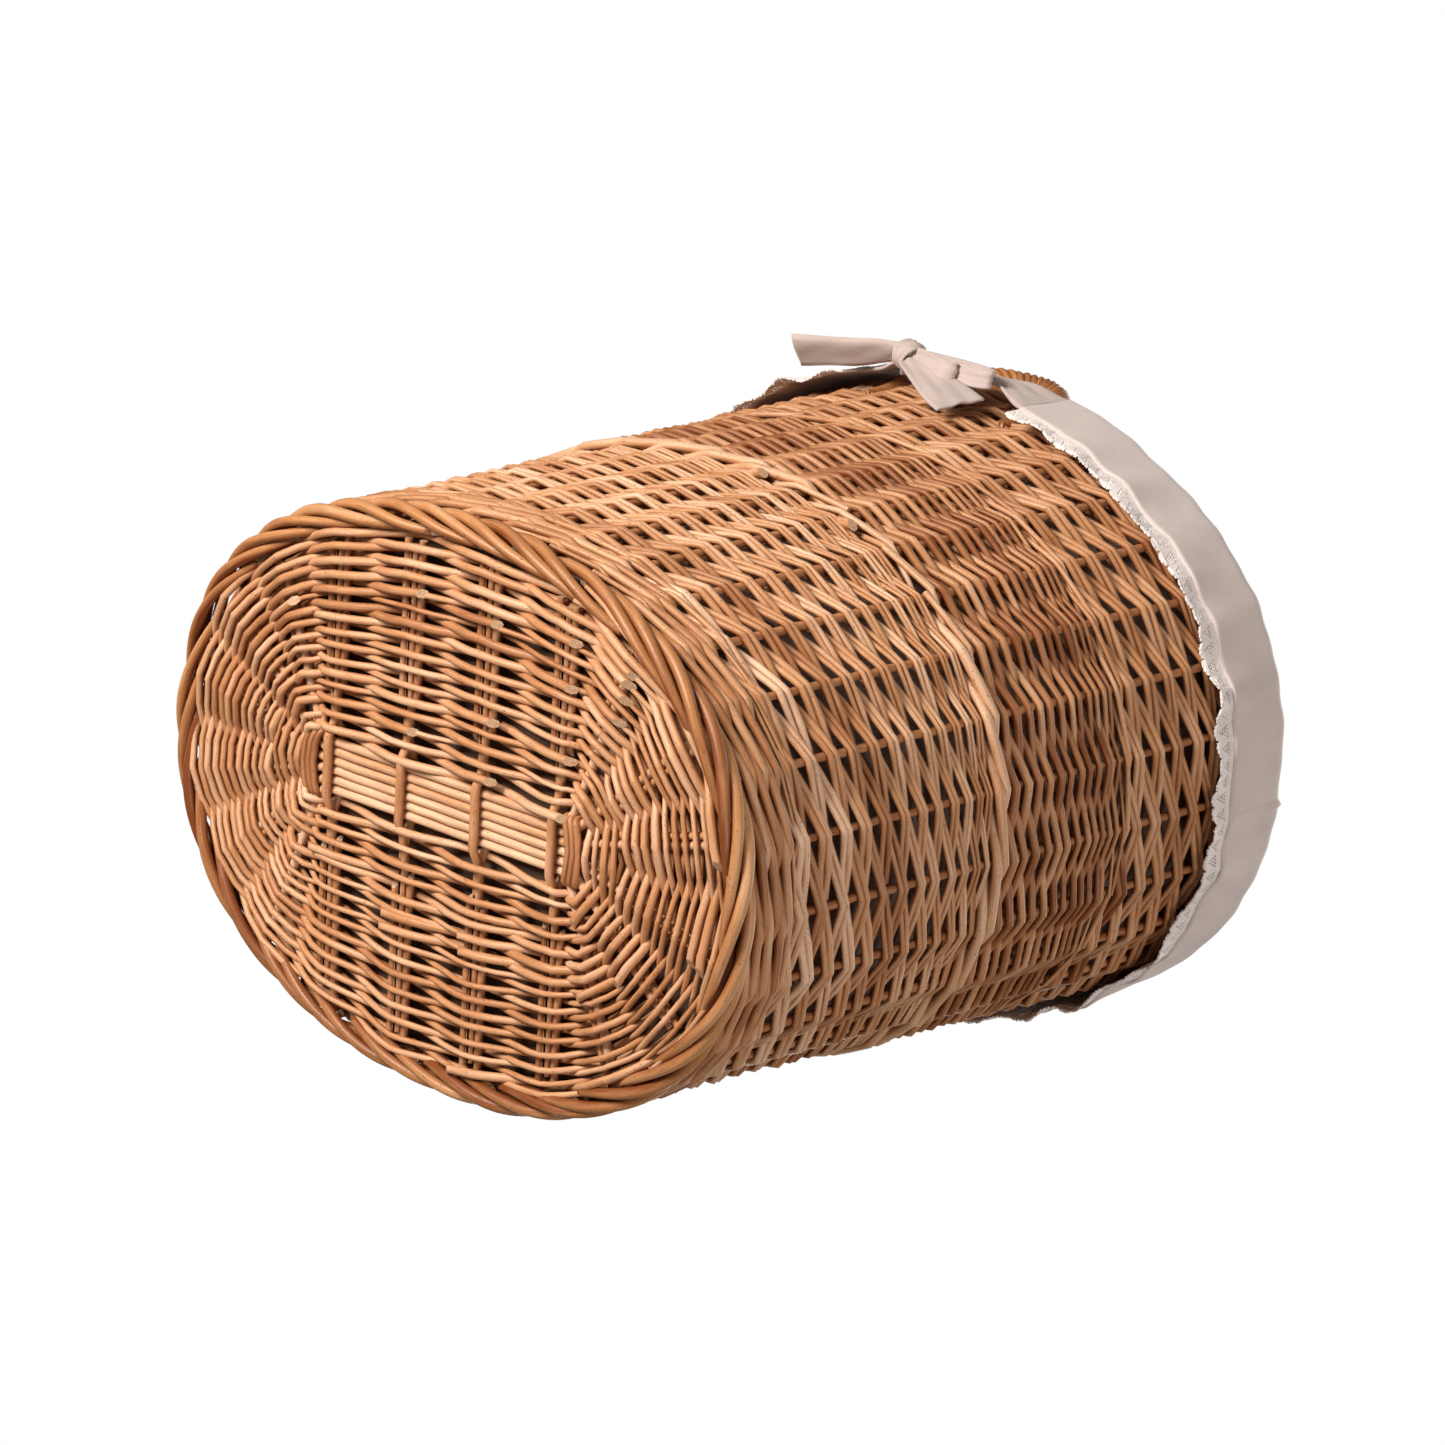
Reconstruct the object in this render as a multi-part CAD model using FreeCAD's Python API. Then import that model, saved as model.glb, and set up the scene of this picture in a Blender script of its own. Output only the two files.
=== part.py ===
import FreeCAD, Part

# Tall oval willow basket with a removable fabric liner.
# It stands upright on its foot border. Z is up and z = 0 is the standing plane.
# X runs along the long axis of the oval and Y along the short one. The front is -Y.
# The origin is the middle of the standing plane. All sizes are in millimetres.

import math
import os

from FreeCAD import Vector

os.makedirs("parts", exist_ok=True)

# ---------------------------------------------------------------- driving sizes
FULLNESS = 2.18            # superellipse exponent of the oval
OVAL_POINTS = 48           # points that each oval curve passes through

RIM_TOP = 421.0            # top of the willow rim border
WALL_BASE_A = 213.0        # outer half length of the woven wall at z = 0
WALL_BASE_B = 153.5        # outer half width of the woven wall at z = 0
WALL_GROW_A = 4.0          # how much each half grows from z = 0 to the rim top
WALL_GROW_B = 20.5
WALL_THICK = 12.5          # weaver in front, stake, weaver behind
WALE_PROUD = 1.0           # a wale stands this far out of the weave

FOOT_TOP = 20.0            # heights of the bands of weave, from the floor up
UPSETT_TOP = 46.0
LOWER_TOP = 192.0
MIDDLE_WALE_TOP = 206.0
MIDDLE_TOP = 294.0
UPPER_WALE_TOP = 302.0
UPPER_TOP = 398.0

FOOT_A = 214.6             # outer half length and width of the foot border
FOOT_B = 155.0
FOOT_THICK = 15.6
FOOT_PROFILE = ((4.0, 0.0), (0.8, 3.5), (0.0, 8.0), (0.0, 13.0), (1.6, FOOT_TOP))   # inset, height

RIM_A = 217.9              # outer half length and width of the rim border
RIM_B = 174.9
RIM_THICK = 16.0
RIM_PROFILE = ((1.0, UPPER_TOP), (0.0, UPPER_TOP + 6.0), (0.0, RIM_TOP - 7.0), (3.5, RIM_TOP))

STAKE_COUNT = 34
STAKE_D = 4.8
STAKE_START = -6.0         # arc distance of the first stake from the middle of the front
STAKE_CROWDING = 0.12      # stakes stand closer on the long sides than at the ends
HOLE_PLAY = 0.2            # radial room round a rod inside the weave

BASE_SHIFT = -5.0          # the base cross sits a little off the middle
STICK_Z = 9.0
LONG_STICK_D = 5.0
LONG_STICK_COUNT = 6
LONG_STICK_PITCH = 5.2
SLATH_HALF = 94.0          # half length of the bundle of long sticks
FAN_ANGLES = (14.0, 40.0, 68.0)   # how far each pair of long sticks turns outward
SHORT_STICK_D = 6.0
SHORT_STICK_COUNT = 4
SHORT_STICK_PITCH = 56.8
SLIT_WALL = 2.8            # thickness of each half of a short stick round the slit
PLATE_BOTTOM = 3.0
PLATE_TOP = 15.2
PLATE_A = 198.8
PLATE_B = 139.2
EDGE_COVER = 3.0           # the weave reaches this far past the tips of the sticks
EYE_PLAY = 1.2             # room between the bundle of long sticks and the weave
EYE_END = 4.0              # and past the bundle's bends
EYE_CORNER = 12.0
SLIT_PLAY = 0.2            # room round the long sticks in the slit of a short one
SLIT_END = 2.4             # uncut wood beyond each end of the slit

HANDLE_X = -8.0            # middle of each handle along the rim
HANDLE_Y = 163.0           # distance of a handle from the middle, at the top of the weave
HANDLE_LEAN = 4.5          # degrees that a handle leans outward
HANDLE_HALF = 50.0         # half distance between the legs
HANDLE_TOP = 454.0         # centre line of the grip, measured along the leaning plane
HANDLE_BEND = 48.0         # bend radius of the arch
HANDLE_D = 17.0            # over the wrapping
CORE_D = 7.0
LEG_BOTTOM = 362.0         # the legs are thrust down into the weave

LINER_GAP_Z = 16.6         # underside of the liner floor
CLOTH = 1.6                # cloth thickness, doubled at hems
LINER_BASE_A = 198.0
LINER_BASE_B = 138.6
LINER_TOP_A = 201.3
LINER_TOP_B = 153.6        # passes inside the handles when the liner is lifted out
FOLD_Z = 422.4             # underside of the fold over the rim
CUFF_TOP = 424.4
CUFF_A = 220.4             # outer half length and width of the cuff
CUFF_B = 177.4
CUFF_BOTTOM = 377.0
LACE_BOTTOM = 364.0
LACE_INSET = 0.3
LACE_THICK = 1.2
NOTCH_HALF = 60.0          # the cuff leaves this half width free for each handle

KNOT = Vector(-34.0, 189.0, 380.0)     # middle of the back bow's knot; the front bow mirrors it
KNOT_SIZE = Vector(20.0, 16.0, 18.0)
KNOT_ROUND = 4.0
KNOT_INSET = 5.0           # each ribbon starts this far from the middle of the knot
GATHERED = 12.0            # width of a ribbon where it enters the knot
STRAP_Z = 398.0            # height of a strap's middle where it leaves the cuff
STRAP_WIDE = 38.0
LOOP_TIP = Vector(39.0, 188.0, 378.0)
LOOP_WIDE = 18.0
WIDE_TAIL_TIP = Vector(30.0, 178.0, 353.0)
WIDE_TAIL = 30.0
FOLDED_TAIL_TIP = Vector(-99.0, 183.0, 358.0)
FOLDED_TAIL = 15.0

FAR = 300.0                # beyond the basket in every direction
UPWARD = Vector(0, 0, 1)
OUTWARD = Vector(0, 1, 0)


# ---------------------------------------------------------------- ovals and rings
def oval_point(a, b, angle, z):
    """Point on the oval at a polar angle in radians."""
    c = abs(math.cos(angle)) / a
    s = abs(math.sin(angle)) / b
    r = (c ** FULLNESS + s ** FULLNESS) ** (-1.0 / FULLNESS)
    return Vector(r * math.cos(angle), r * math.sin(angle), z)


def oval_y(a, b, x):
    """Half width of the oval at a distance x along it."""
    return b * (1 - (abs(x) / a) ** FULLNESS) ** (1 / FULLNESS)


def oval_wire(a, b, z):
    points = []
    for i in range(OVAL_POINTS):
        points.append(oval_point(a, b, 2 * math.pi * i / OVAL_POINTS, z))
    curve = Part.BSplineCurve()
    curve.interpolate(Points=points, PeriodicFlag=True)
    return Part.Wire([curve.toShape()])


def oval_solid(sections):
    """Solid through ovals given as (a, b, z), straight between them."""
    wires = [oval_wire(a, b, z) for a, b, z in sections]
    return Part.makeLoft(wires, True, True)


def oval_prism(a, b, z0, z1):
    return oval_solid([(a, b, z0), (a, b, z1)])


def wall_a(z):
    return WALL_BASE_A + WALL_GROW_A * z / RIM_TOP


def wall_b(z):
    return WALL_BASE_B + WALL_GROW_B * z / RIM_TOP


def wall_band(z0, z1, proud=0.0):
    """One band of the woven wall, before the stakes' holes."""
    outer = oval_solid([(wall_a(z) + proud, wall_b(z) + proud, z) for z in (z0, z1)])
    inner = oval_solid([(wall_a(z) - WALL_THICK, wall_b(z) - WALL_THICK, z) for z in (z0, z1)])
    return outer.cut(inner)


def save(shape, name):
    shape.exportStep("parts/" + name + ".step")
    print(name, "solids", len(shape.Solids), "volume", round(shape.Volume), shape.isValid())


# ---------------------------------------------------------------- stakes
def stake_angles():
    """Polar angles of the stakes, closer together on the long sides."""
    steps = 3600
    arc = [0.0]
    previous = wall_middle(-math.pi / 2, 0)
    for i in range(1, steps + 1):
        point = wall_middle(-math.pi / 2 + 2 * math.pi * i / steps, 0)
        arc.append(arc[-1] + (point - previous).Length)
        previous = point
    total = arc[-1]
    weight = [0.0]
    for i in range(1, steps + 1):
        place = 4 * math.pi * arc[i] / total
        gap = 1 - STAKE_CROWDING * math.cos(place)
        weight.append(weight[-1] + (arc[i] - arc[i - 1]) / gap)
    start = STAKE_START / total * weight[-1] / (1 - STAKE_CROWDING)
    angles = []
    for k in range(STAKE_COUNT):
        wanted = (start + weight[-1] * k / STAKE_COUNT) % weight[-1]
        i = next(j for j in range(1, steps + 1) if weight[j] >= wanted)
        part = (wanted - weight[i - 1]) / (weight[i] - weight[i - 1])
        angles.append(-math.pi / 2 + 2 * math.pi * (i - 1 + part) / steps)
    return angles


def wall_middle(angle, z):
    """Point halfway through the wall."""
    mid = WALL_THICK / 2
    return oval_point(wall_a(z) - mid, wall_b(z) - mid, angle, z)


def rod(start, end, diameter):
    run = end - start
    return Part.makeCylinder(diameter / 2, run.Length, start, run)


STAKE_ANGLES = stake_angles()


def under_handle(angle):
    """Whether a handle's leg goes down where this stake would end."""
    touching = (STAKE_D + CORE_D) / 2 + HOLE_PLAY
    for z in (LEG_BOTTOM, UPPER_TOP):
        place = wall_middle(angle, z)
        side = math.copysign(1, place.y)
        for leg_x in (HANDLE_X - HANDLE_HALF, HANDLE_X + HANDLE_HALF):
            leg = handle_point(side, leg_x, z)
            if math.hypot(place.x - leg.x, place.y - leg.y) < touching:
                return True
    return False


def stakes():
    """The upright rods. One under a handle's leg stops below it."""
    rods = []
    for angle in STAKE_ANGLES:
        top = LEG_BOTTOM - 1.0 if under_handle(angle) else UPPER_TOP
        rods.append(stake_rod(angle, FOOT_TOP, top, STAKE_D))
    return Part.makeCompound(rods)


def stake_holes():
    rods = []
    for angle in STAKE_ANGLES:
        rods.append(stake_rod(angle, FOOT_TOP - 5, UPPER_TOP + 5, STAKE_D + 2 * HOLE_PLAY))
    return Part.makeCompound(rods)


def stake_rod(angle, z0, z1, diameter):
    low = wall_middle(angle, FOOT_TOP)
    high = wall_middle(angle, UPPER_TOP)
    run = (high - low) / (UPPER_TOP - FOOT_TOP)
    return rod(low + run * (z0 - FOOT_TOP), low + run * (z1 - FOOT_TOP), diameter)


# ---------------------------------------------------------------- handles
def handle_upward(side):
    """The way that a handle's legs point. side is -1 at the front."""
    lean = math.radians(HANDLE_LEAN)
    return Vector(0, side * math.sin(lean), math.cos(lean))


def handle_point(side, x, z):
    """A point in a handle's leaning plane, z measured along the plane."""
    return Vector(x, side * HANDLE_Y, UPPER_TOP) + handle_upward(side) * (z - UPPER_TOP)


def handle_path(side):
    """Centre line of a handle: leg, bend, grip, bend, leg."""
    left = HANDLE_X - HANDLE_HALF
    right = HANDLE_X + HANDLE_HALF
    shoulder = HANDLE_TOP - HANDLE_BEND
    slant = HANDLE_BEND * (1 - math.cos(math.pi / 4))

    def at(x, z):
        return handle_point(side, x, z)

    grip_left = at(left + HANDLE_BEND, HANDLE_TOP)
    grip_right = at(right - HANDLE_BEND, HANDLE_TOP)
    left_shoulder = at(left, shoulder)
    right_shoulder = at(right, shoulder)
    edges = [
        Part.LineSegment(at(left, LEG_BOTTOM), left_shoulder).toShape(),
        Part.Arc(left_shoulder, at(left + slant, HANDLE_TOP - slant), grip_left).toShape(),
        Part.LineSegment(grip_left, grip_right).toShape(),
        Part.Arc(grip_right, at(right - slant, HANDLE_TOP - slant), right_shoulder).toShape(),
        Part.LineSegment(right_shoulder, at(right, LEG_BOTTOM)).toShape(),
    ]
    return Part.Wire(edges)


def handle_tube(side, diameter):
    start = handle_point(side, HANDLE_X - HANDLE_HALF, LEG_BOTTOM)
    circle = Part.Wire([Part.makeCircle(diameter / 2, start, handle_upward(side))])
    return handle_path(side).makePipeShell([circle], True, True)


def handle_core(side, extra=0.0):
    return handle_tube(side, CORE_D + 2 * extra)


def handle_wrap(side):
    """The bark strips wound round the arch, above the rim."""
    above_rim = Part.makeBox(2 * FAR, 2 * FAR, FAR, Vector(-FAR, -FAR, RIM_TOP))
    tube = handle_tube(side, HANDLE_D).common(above_rim)
    return tube.cut(handle_core(side, HOLE_PLAY))


# ---------------------------------------------------------------- base
def long_sticks(extra=0.0):
    """Six sticks side by side, whose ends fan out to the foot border."""
    d = LONG_STICK_D + 2 * extra
    sticks = []
    for i in range(LONG_STICK_COUNT):
        row = i - (LONG_STICK_COUNT - 1) / 2
        y = row * LONG_STICK_PITCH
        angle = FAN_ANGLES[int(abs(row))]
        left = Vector(BASE_SHIFT - SLATH_HALF, y, STICK_Z)
        right = Vector(BASE_SHIFT + SLATH_HALF, y, STICK_Z)
        stick = rod(left, right, d)
        for corner, way in ((left, -1), (right, 1)):
            turn = math.radians(angle) * (1 if row > 0 else -1)
            heading = Vector(way * math.cos(turn), math.sin(turn), 0)
            tip = corner + heading * fan_length(corner, heading)
            stick = stick.fuse(Part.makeSphere(d / 2, corner))
            stick = stick.fuse(rod(corner, tip, d))
        sticks.append(stick.removeSplitter())
    return Part.makeCompound(sticks)


def fan_length(corner, heading):
    """Length from a corner of the slath to just inside the edge of the base."""
    length = 0.0
    reach = 0.0
    while reach < 1:
        length += 0.5
        p = corner + heading * length
        reach = (abs(p.x) / (PLATE_A - EDGE_COVER)) ** FULLNESS
        reach += (abs(p.y) / (PLATE_B - EDGE_COVER)) ** FULLNESS
    return length


def short_sticks(extra=0.0):
    """Four sticks, each split in the middle, with the long sticks through the slit."""
    half_slit = LONG_STICK_COUNT * LONG_STICK_PITCH / 2 + 2 * SLIT_PLAY
    half_swell = half_slit + SLIT_END
    slit_high = LONG_STICK_D / 2 + SLIT_PLAY
    half_high = slit_high + SLIT_WALL
    wide = SHORT_STICK_D + 2 * extra
    sticks = []
    for i in range(SHORT_STICK_COUNT):
        x = BASE_SHIFT + (i - (SHORT_STICK_COUNT - 1) / 2) * SHORT_STICK_PITCH
        tip = oval_y(PLATE_A, PLATE_B, x) - EDGE_COVER
        swell = Part.makeBox(
            wide,
            2 * half_swell + 2 * extra,
            2 * half_high + 2 * extra,
            Vector(x - wide / 2, -half_swell - extra, STICK_Z - half_high - extra),
        )
        slit = Part.makeBox(
            2 * wide,
            2 * half_slit,
            2 * slit_high,
            Vector(x - wide, -half_slit, STICK_Z - slit_high),
        )
        stick = swell
        if extra == 0:
            stick = swell.cut(slit)
        for way in (-1, 1):
            near = Vector(x, way * (half_slit + SLIT_END / 4), STICK_Z)
            far = Vector(x, way * tip, STICK_Z)
            stick = stick.fuse(rod(near, far, wide))
        sticks.append(stick.removeSplitter())
    return Part.makeCompound(sticks)


def base_weave():
    """The woven oval round the cross of sticks."""
    plate = oval_prism(PLATE_A, PLATE_B, PLATE_BOTTOM, PLATE_TOP)
    half_long = SLATH_HALF + EYE_END
    half_wide = LONG_STICK_COUNT * LONG_STICK_PITCH / 2 + EYE_PLAY
    corner = Vector(BASE_SHIFT - half_long, -half_wide, 0)
    eye = Part.makeBox(2 * half_long, 2 * half_wide, PLATE_TOP, corner)
    upright = [e for e in eye.Edges if abs(e.tangentAt(e.FirstParameter).z) > 0.9]
    eye = eye.makeFillet(EYE_CORNER, upright)
    plate = plate.cut(eye)
    plate = plate.cut(long_sticks(HOLE_PLAY))
    return plate.cut(short_sticks(HOLE_PLAY))


# ---------------------------------------------------------------- borders
def foot_border():
    """The thick rope of rods round the bottom, which the basket stands on."""
    rope = oval_solid([(FOOT_A - inset, FOOT_B - inset, z) for inset, z in FOOT_PROFILE])
    return rope.cut(oval_prism(FOOT_A - FOOT_THICK, FOOT_B - FOOT_THICK, 0.0, FOOT_TOP))


def rim_border():
    """The plaited border that closes the top of the wall."""
    ring = oval_solid([(RIM_A - inset, RIM_B - inset, z) for inset, z in RIM_PROFILE])
    ring = ring.cut(oval_prism(RIM_A - RIM_THICK, RIM_B - RIM_THICK, UPPER_TOP, RIM_TOP))
    for side in (-1, 1):
        ring = ring.cut(handle_core(side, HOLE_PLAY))
    return ring


# ---------------------------------------------------------------- liner
def liner_size(z):
    """Outer half length and width of the bag at a height."""
    share = (z - LINER_GAP_Z) / (FOLD_Z - LINER_GAP_Z)
    a = LINER_BASE_A + (LINER_TOP_A - LINER_BASE_A) * share
    b = LINER_BASE_B + (LINER_TOP_B - LINER_BASE_B) * share
    return a, b


def liner_wall():
    """The bag's side, open at the top."""
    low = LINER_GAP_Z + CLOTH
    sections = []
    hollow = []
    for z in (low, FOLD_Z):
        a, b = liner_size(z)
        sections.append((a, b, z))
        hollow.append((a - CLOTH, b - CLOTH, z))
    return oval_solid(sections).cut(oval_solid(hollow))


def half_space(side):
    """A block that holds everything in front (side -1) or behind (side 1)."""
    return Part.makeBox(2 * FAR, FAR, 2 * FAR, Vector(-FAR, 0 if side > 0 else -FAR, 0))


def end_space(side):
    """A block round one narrow end, clear of the handles."""
    start = HANDLE_X + side * NOTCH_HALF
    return Part.makeBox(FAR, 2 * FAR, 2 * FAR, Vector(start if side > 0 else start - FAR, -FAR, 0))


def cuff():
    """The liner's edge: over the rim and down the outside."""
    body = oval_prism(CUFF_A, CUFF_B, CUFF_BOTTOM, CUFF_TOP)
    body = body.cut(oval_prism(CUFF_A - CLOTH, CUFF_B - CLOTH, CUFF_BOTTOM, FOLD_Z))
    return body.cut(oval_prism(LINER_TOP_A - CLOTH, LINER_TOP_B - CLOTH, FOLD_Z, CUFF_TOP))


def lace():
    """The band of lace that hangs from the cuff's edge."""
    a = CUFF_A - LACE_INSET
    b = CUFF_B - LACE_INSET
    outer = oval_prism(a, b, LACE_BOTTOM, CUFF_BOTTOM)
    return outer.cut(oval_prism(a - LACE_THICK, b - LACE_THICK, LACE_BOTTOM, CUFF_BOTTOM))


def ribbon(start, end, across, width0, width1):
    """A flat tapering strip of doubled cloth from start to end. across is the way of its width."""
    out = (end - start).cross(across).normalize() * (CLOTH / 2)
    rings = []
    for middle, width in ((start, width0), (end, width1)):
        half = across * (width / 2)
        corners = [middle + half + out, middle - half + out, middle - half - out, middle + half - out]
        rings.append(Part.makePolygon(corners + corners[:1]))
    return Part.makeLoft(rings, True, True)


def on_side(point, side):
    """A point given for the back, or its mirror image at the front when side is -1."""
    return Vector(point.x, side * point.y, point.z)


def cuff_corner(hand):
    """Where a strap leaves its cuff, at the back: the edge of the handle's notch."""
    x = HANDLE_X + hand * NOTCH_HALF
    return Vector(x, oval_y(CUFF_A, CUFF_B, x), STRAP_Z)


def half_knot(side, hand):
    """The right or left half of a bow's knot, and the block that it is cut out with."""
    middle = on_side(KNOT, side)
    knot = Part.makeBox(*KNOT_SIZE, middle - KNOT_SIZE / 2)
    knot = knot.makeFillet(KNOT_ROUND, knot.Edges)
    left = middle.x if hand > 0 else middle.x - FAR
    half = Part.makeBox(FAR, FAR, FAR, Vector(left, middle.y - FAR / 2, middle.z - FAR / 2))
    return knot.common(half), half


def tie(side, hand):
    """One tie, from the corner of its cuff through its half of the knot to its tail.

    side is -1 at the front and 1 at the back, hand is 1 for the right cuff and -1 for the left.
    The left tie's tail is folded along its middle and lies flat, and the right one has the loop.
    """
    knot, half = half_knot(side, hand)
    start = KNOT + Vector(hand * KNOT_INSET, 0, 0)

    def strip(tip, across, width):
        return ribbon(on_side(start, side), on_side(tip, side), across, GATHERED, width).common(half)

    strips = [strip(cuff_corner(hand), UPWARD, STRAP_WIDE)]
    if hand > 0:
        strips.append(strip(LOOP_TIP, UPWARD, LOOP_WIDE))
        strips.append(strip(WIDE_TAIL_TIP, UPWARD, WIDE_TAIL))
    else:
        strips.append(strip(FOLDED_TAIL_TIP, OUTWARD, FOLDED_TAIL))
    return knot.fuse(strips).removeSplitter()


# ---------------------------------------------------------------- every piece
save(long_sticks(), "base_long_sticks")
save(short_sticks(), "base_short_sticks")
save(base_weave(), "base_weave")
save(foot_border(), "foot_border")
save(stakes(), "side_stakes")

holes = stake_holes()
save(wall_band(FOOT_TOP, UPSETT_TOP, WALE_PROUD).cut(holes), "upsett_wale")
save(wall_band(UPSETT_TOP, LOWER_TOP).cut(holes), "lower_weave")
save(wall_band(LOWER_TOP, MIDDLE_WALE_TOP, WALE_PROUD).cut(holes), "middle_wale")
save(wall_band(MIDDLE_WALE_TOP, MIDDLE_TOP).cut(holes), "middle_weave")
save(wall_band(MIDDLE_TOP, UPPER_WALE_TOP, WALE_PROUD).cut(holes), "upper_wale")
upper = wall_band(UPPER_WALE_TOP, UPPER_TOP).cut(holes)
for end in (-1, 1):
    upper = upper.cut(handle_core(end, HOLE_PLAY))
save(upper, "upper_weave")
save(rim_border(), "rim_border")

for name, end in (("front", -1), ("back", 1)):
    save(handle_core(end), "handle_core_" + name)
    save(handle_wrap(end), "handle_wrap_" + name)
    save(liner_wall().common(half_space(end)), "liner_wall_" + name)

floor_a, floor_b = liner_size(LINER_GAP_Z)
floor_edges = (LINER_GAP_Z, LINER_GAP_Z + CLOTH)
save(oval_solid([(floor_a, floor_b, z) for z in floor_edges]), "liner_floor")

for name, end in (("left", -1), ("right", 1)):
    end_cuff = cuff().common(end_space(end))
    save(end_cuff, "cuff_" + name)
    save(lace().common(end_space(end)), "lace_" + name)
    save(tie(-1, end).cut(end_cuff), "tie_front_" + name)
    save(tie(1, end).cut(end_cuff), "tie_back_" + name)
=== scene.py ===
# The visual model of the lined willow basket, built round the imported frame.
# Lengths are worked out in millimetres and turned into metres when a mesh is made.

import math

import bpy
import numpy as np
from mathutils import Matrix, Vector
from mathutils.geometry import tessellate_polygon


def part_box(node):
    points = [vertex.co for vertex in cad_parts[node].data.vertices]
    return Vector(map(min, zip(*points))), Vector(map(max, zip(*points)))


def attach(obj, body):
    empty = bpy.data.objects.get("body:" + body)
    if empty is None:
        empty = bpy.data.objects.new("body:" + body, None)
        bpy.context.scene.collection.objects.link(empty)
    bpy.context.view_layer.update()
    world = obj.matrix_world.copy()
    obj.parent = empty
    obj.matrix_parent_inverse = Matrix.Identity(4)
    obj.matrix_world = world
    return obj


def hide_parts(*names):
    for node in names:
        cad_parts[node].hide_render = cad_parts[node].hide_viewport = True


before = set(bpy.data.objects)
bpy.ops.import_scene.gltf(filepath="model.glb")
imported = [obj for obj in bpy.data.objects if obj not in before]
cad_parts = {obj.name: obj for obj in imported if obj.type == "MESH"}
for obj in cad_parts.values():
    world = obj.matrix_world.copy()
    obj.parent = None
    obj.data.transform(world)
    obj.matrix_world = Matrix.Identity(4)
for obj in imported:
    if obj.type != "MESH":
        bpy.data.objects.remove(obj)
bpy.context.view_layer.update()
MM = 0.001
TURN = 2 * math.pi
SEEDS = {"wall": 3, "wrinkles": 5, "sticks": 5, "borders": 8, "stakes": 11, "base": 21, "handle": 40,
         "liner": 60, "cuff": 70, "lace": 90, "tie": 100}


def seeded(part, more=0):
    """Random numbers for a part, the same at every run."""
    return np.random.default_rng(SEEDS[part] + more)


# ---- sizes from the frame
def box_mm(node):
    """Lowest and highest corner of a CAD node."""
    low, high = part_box(node)
    return np.array(low) / MM, np.array(high) / MM


def top_of(node):
    """Height of the top of a CAD node."""
    return box_mm(node)[1][2]


FULLNESS = 2.18            # superellipse exponent of every oval
STAKE_D = 4.8
FOOT_TOP = top_of("foot_border")
UPSETT_TOP = top_of("upsett_wale")
LOWER_TOP = top_of("lower_weave")
MIDDLE_WALE_TOP = top_of("middle_wale")
MIDDLE_TOP = top_of("middle_weave")
UPPER_WALE_TOP = top_of("upper_wale")
UPPER_TOP = top_of("upper_weave")
RIM_TOP = top_of("rim_border")
CUFF_A, CUFF_B, CUFF_TOP = box_mm("cuff_right")[1]
CUFF_BOTTOM = box_mm("cuff_right")[0][2]
LACE_BOTTOM = box_mm("lace_right")[0][2]


# ---- arrays of points
def unit(vectors):
    """The same directions with length 1. The last axis is x, y, z."""
    return vectors / np.linalg.norm(vectors, axis=-1, keepdims=True)


def headings(line):
    """The direction of a line at each of its points."""
    return unit(np.gradient(line, axis=0))


def lengths_along(line):
    """How far along a line each of its points is."""
    return np.concatenate([[0.0], np.cumsum(np.linalg.norm(np.diff(line, axis=0), axis=1))])


def sample(wanted, known, values):
    """Points or directions at the wanted places, from those at the known places."""
    return np.stack([np.interp(wanted, known, values[:, i]) for i in range(3)], axis=1)


def curve_through(a, b, c, d, u):
    """A smooth curve from b to c as u goes from 0 to 1. a and d are the points before and after them."""
    return 0.5 * (2 * b + (c - a) * u + (2 * a - 5 * b + 4 * c - d) * u**2 + (3 * b - a - 3 * c + d) * u**3)


# ---- meshes and pieces
def new_mesh(name, points, faces, smooth=True):
    """A mesh. faces is a list of arrays, with the corners of one face in each row."""
    corners = np.concatenate([some.ravel() for some in faces])
    sizes = np.concatenate([np.full(len(some), some.shape[1]) for some in faces])
    mesh = bpy.data.meshes.new(name)
    mesh.vertices.add(len(points))
    mesh.vertices.foreach_set("co", (points * MM).astype(np.float32).ravel())
    mesh.loops.add(len(corners))
    mesh.loops.foreach_set("vertex_index", corners.astype(np.int32))
    mesh.polygons.add(len(sizes))
    mesh.polygons.foreach_set("loop_start", (np.cumsum(sizes) - sizes).astype(np.int32))
    mesh.polygons.foreach_set("use_smooth", np.full(len(sizes), smooth))
    mesh.update(calc_edges=True)
    mesh.validate()
    return mesh


def store(mesh, name, values):
    """A number or a vector for every vertex, which the materials read by its name."""
    kind, key = ("FLOAT_VECTOR", "vector") if values.ndim == 2 else ("FLOAT", "value")
    attribute = mesh.attributes.new(name, kind, "POINT")
    attribute.data.foreach_set(key, values.astype(np.float32).ravel())


def add_object(name, data):
    """An object of the scene that holds a camera, a lamp or a mesh."""
    thing = bpy.data.objects.new(name, data)
    bpy.context.scene.collection.objects.link(thing)
    return thing


def piece(mesh, material, body, slot, *nodes):
    """A mesh becomes a piece that rides on a body, has a finish and stands for CAD nodes."""
    mesh.materials.append(material)
    thing = add_object(mesh.name, mesh)
    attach(thing, body)
    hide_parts(*nodes)
    return thing


# ---- rods
GRAIN_SPREAD = 5000.0      # how far apart the grain of two rods may start
STEEPEST_CUT = 0.35        # cosine of the most slanting cut across a rod's end


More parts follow.
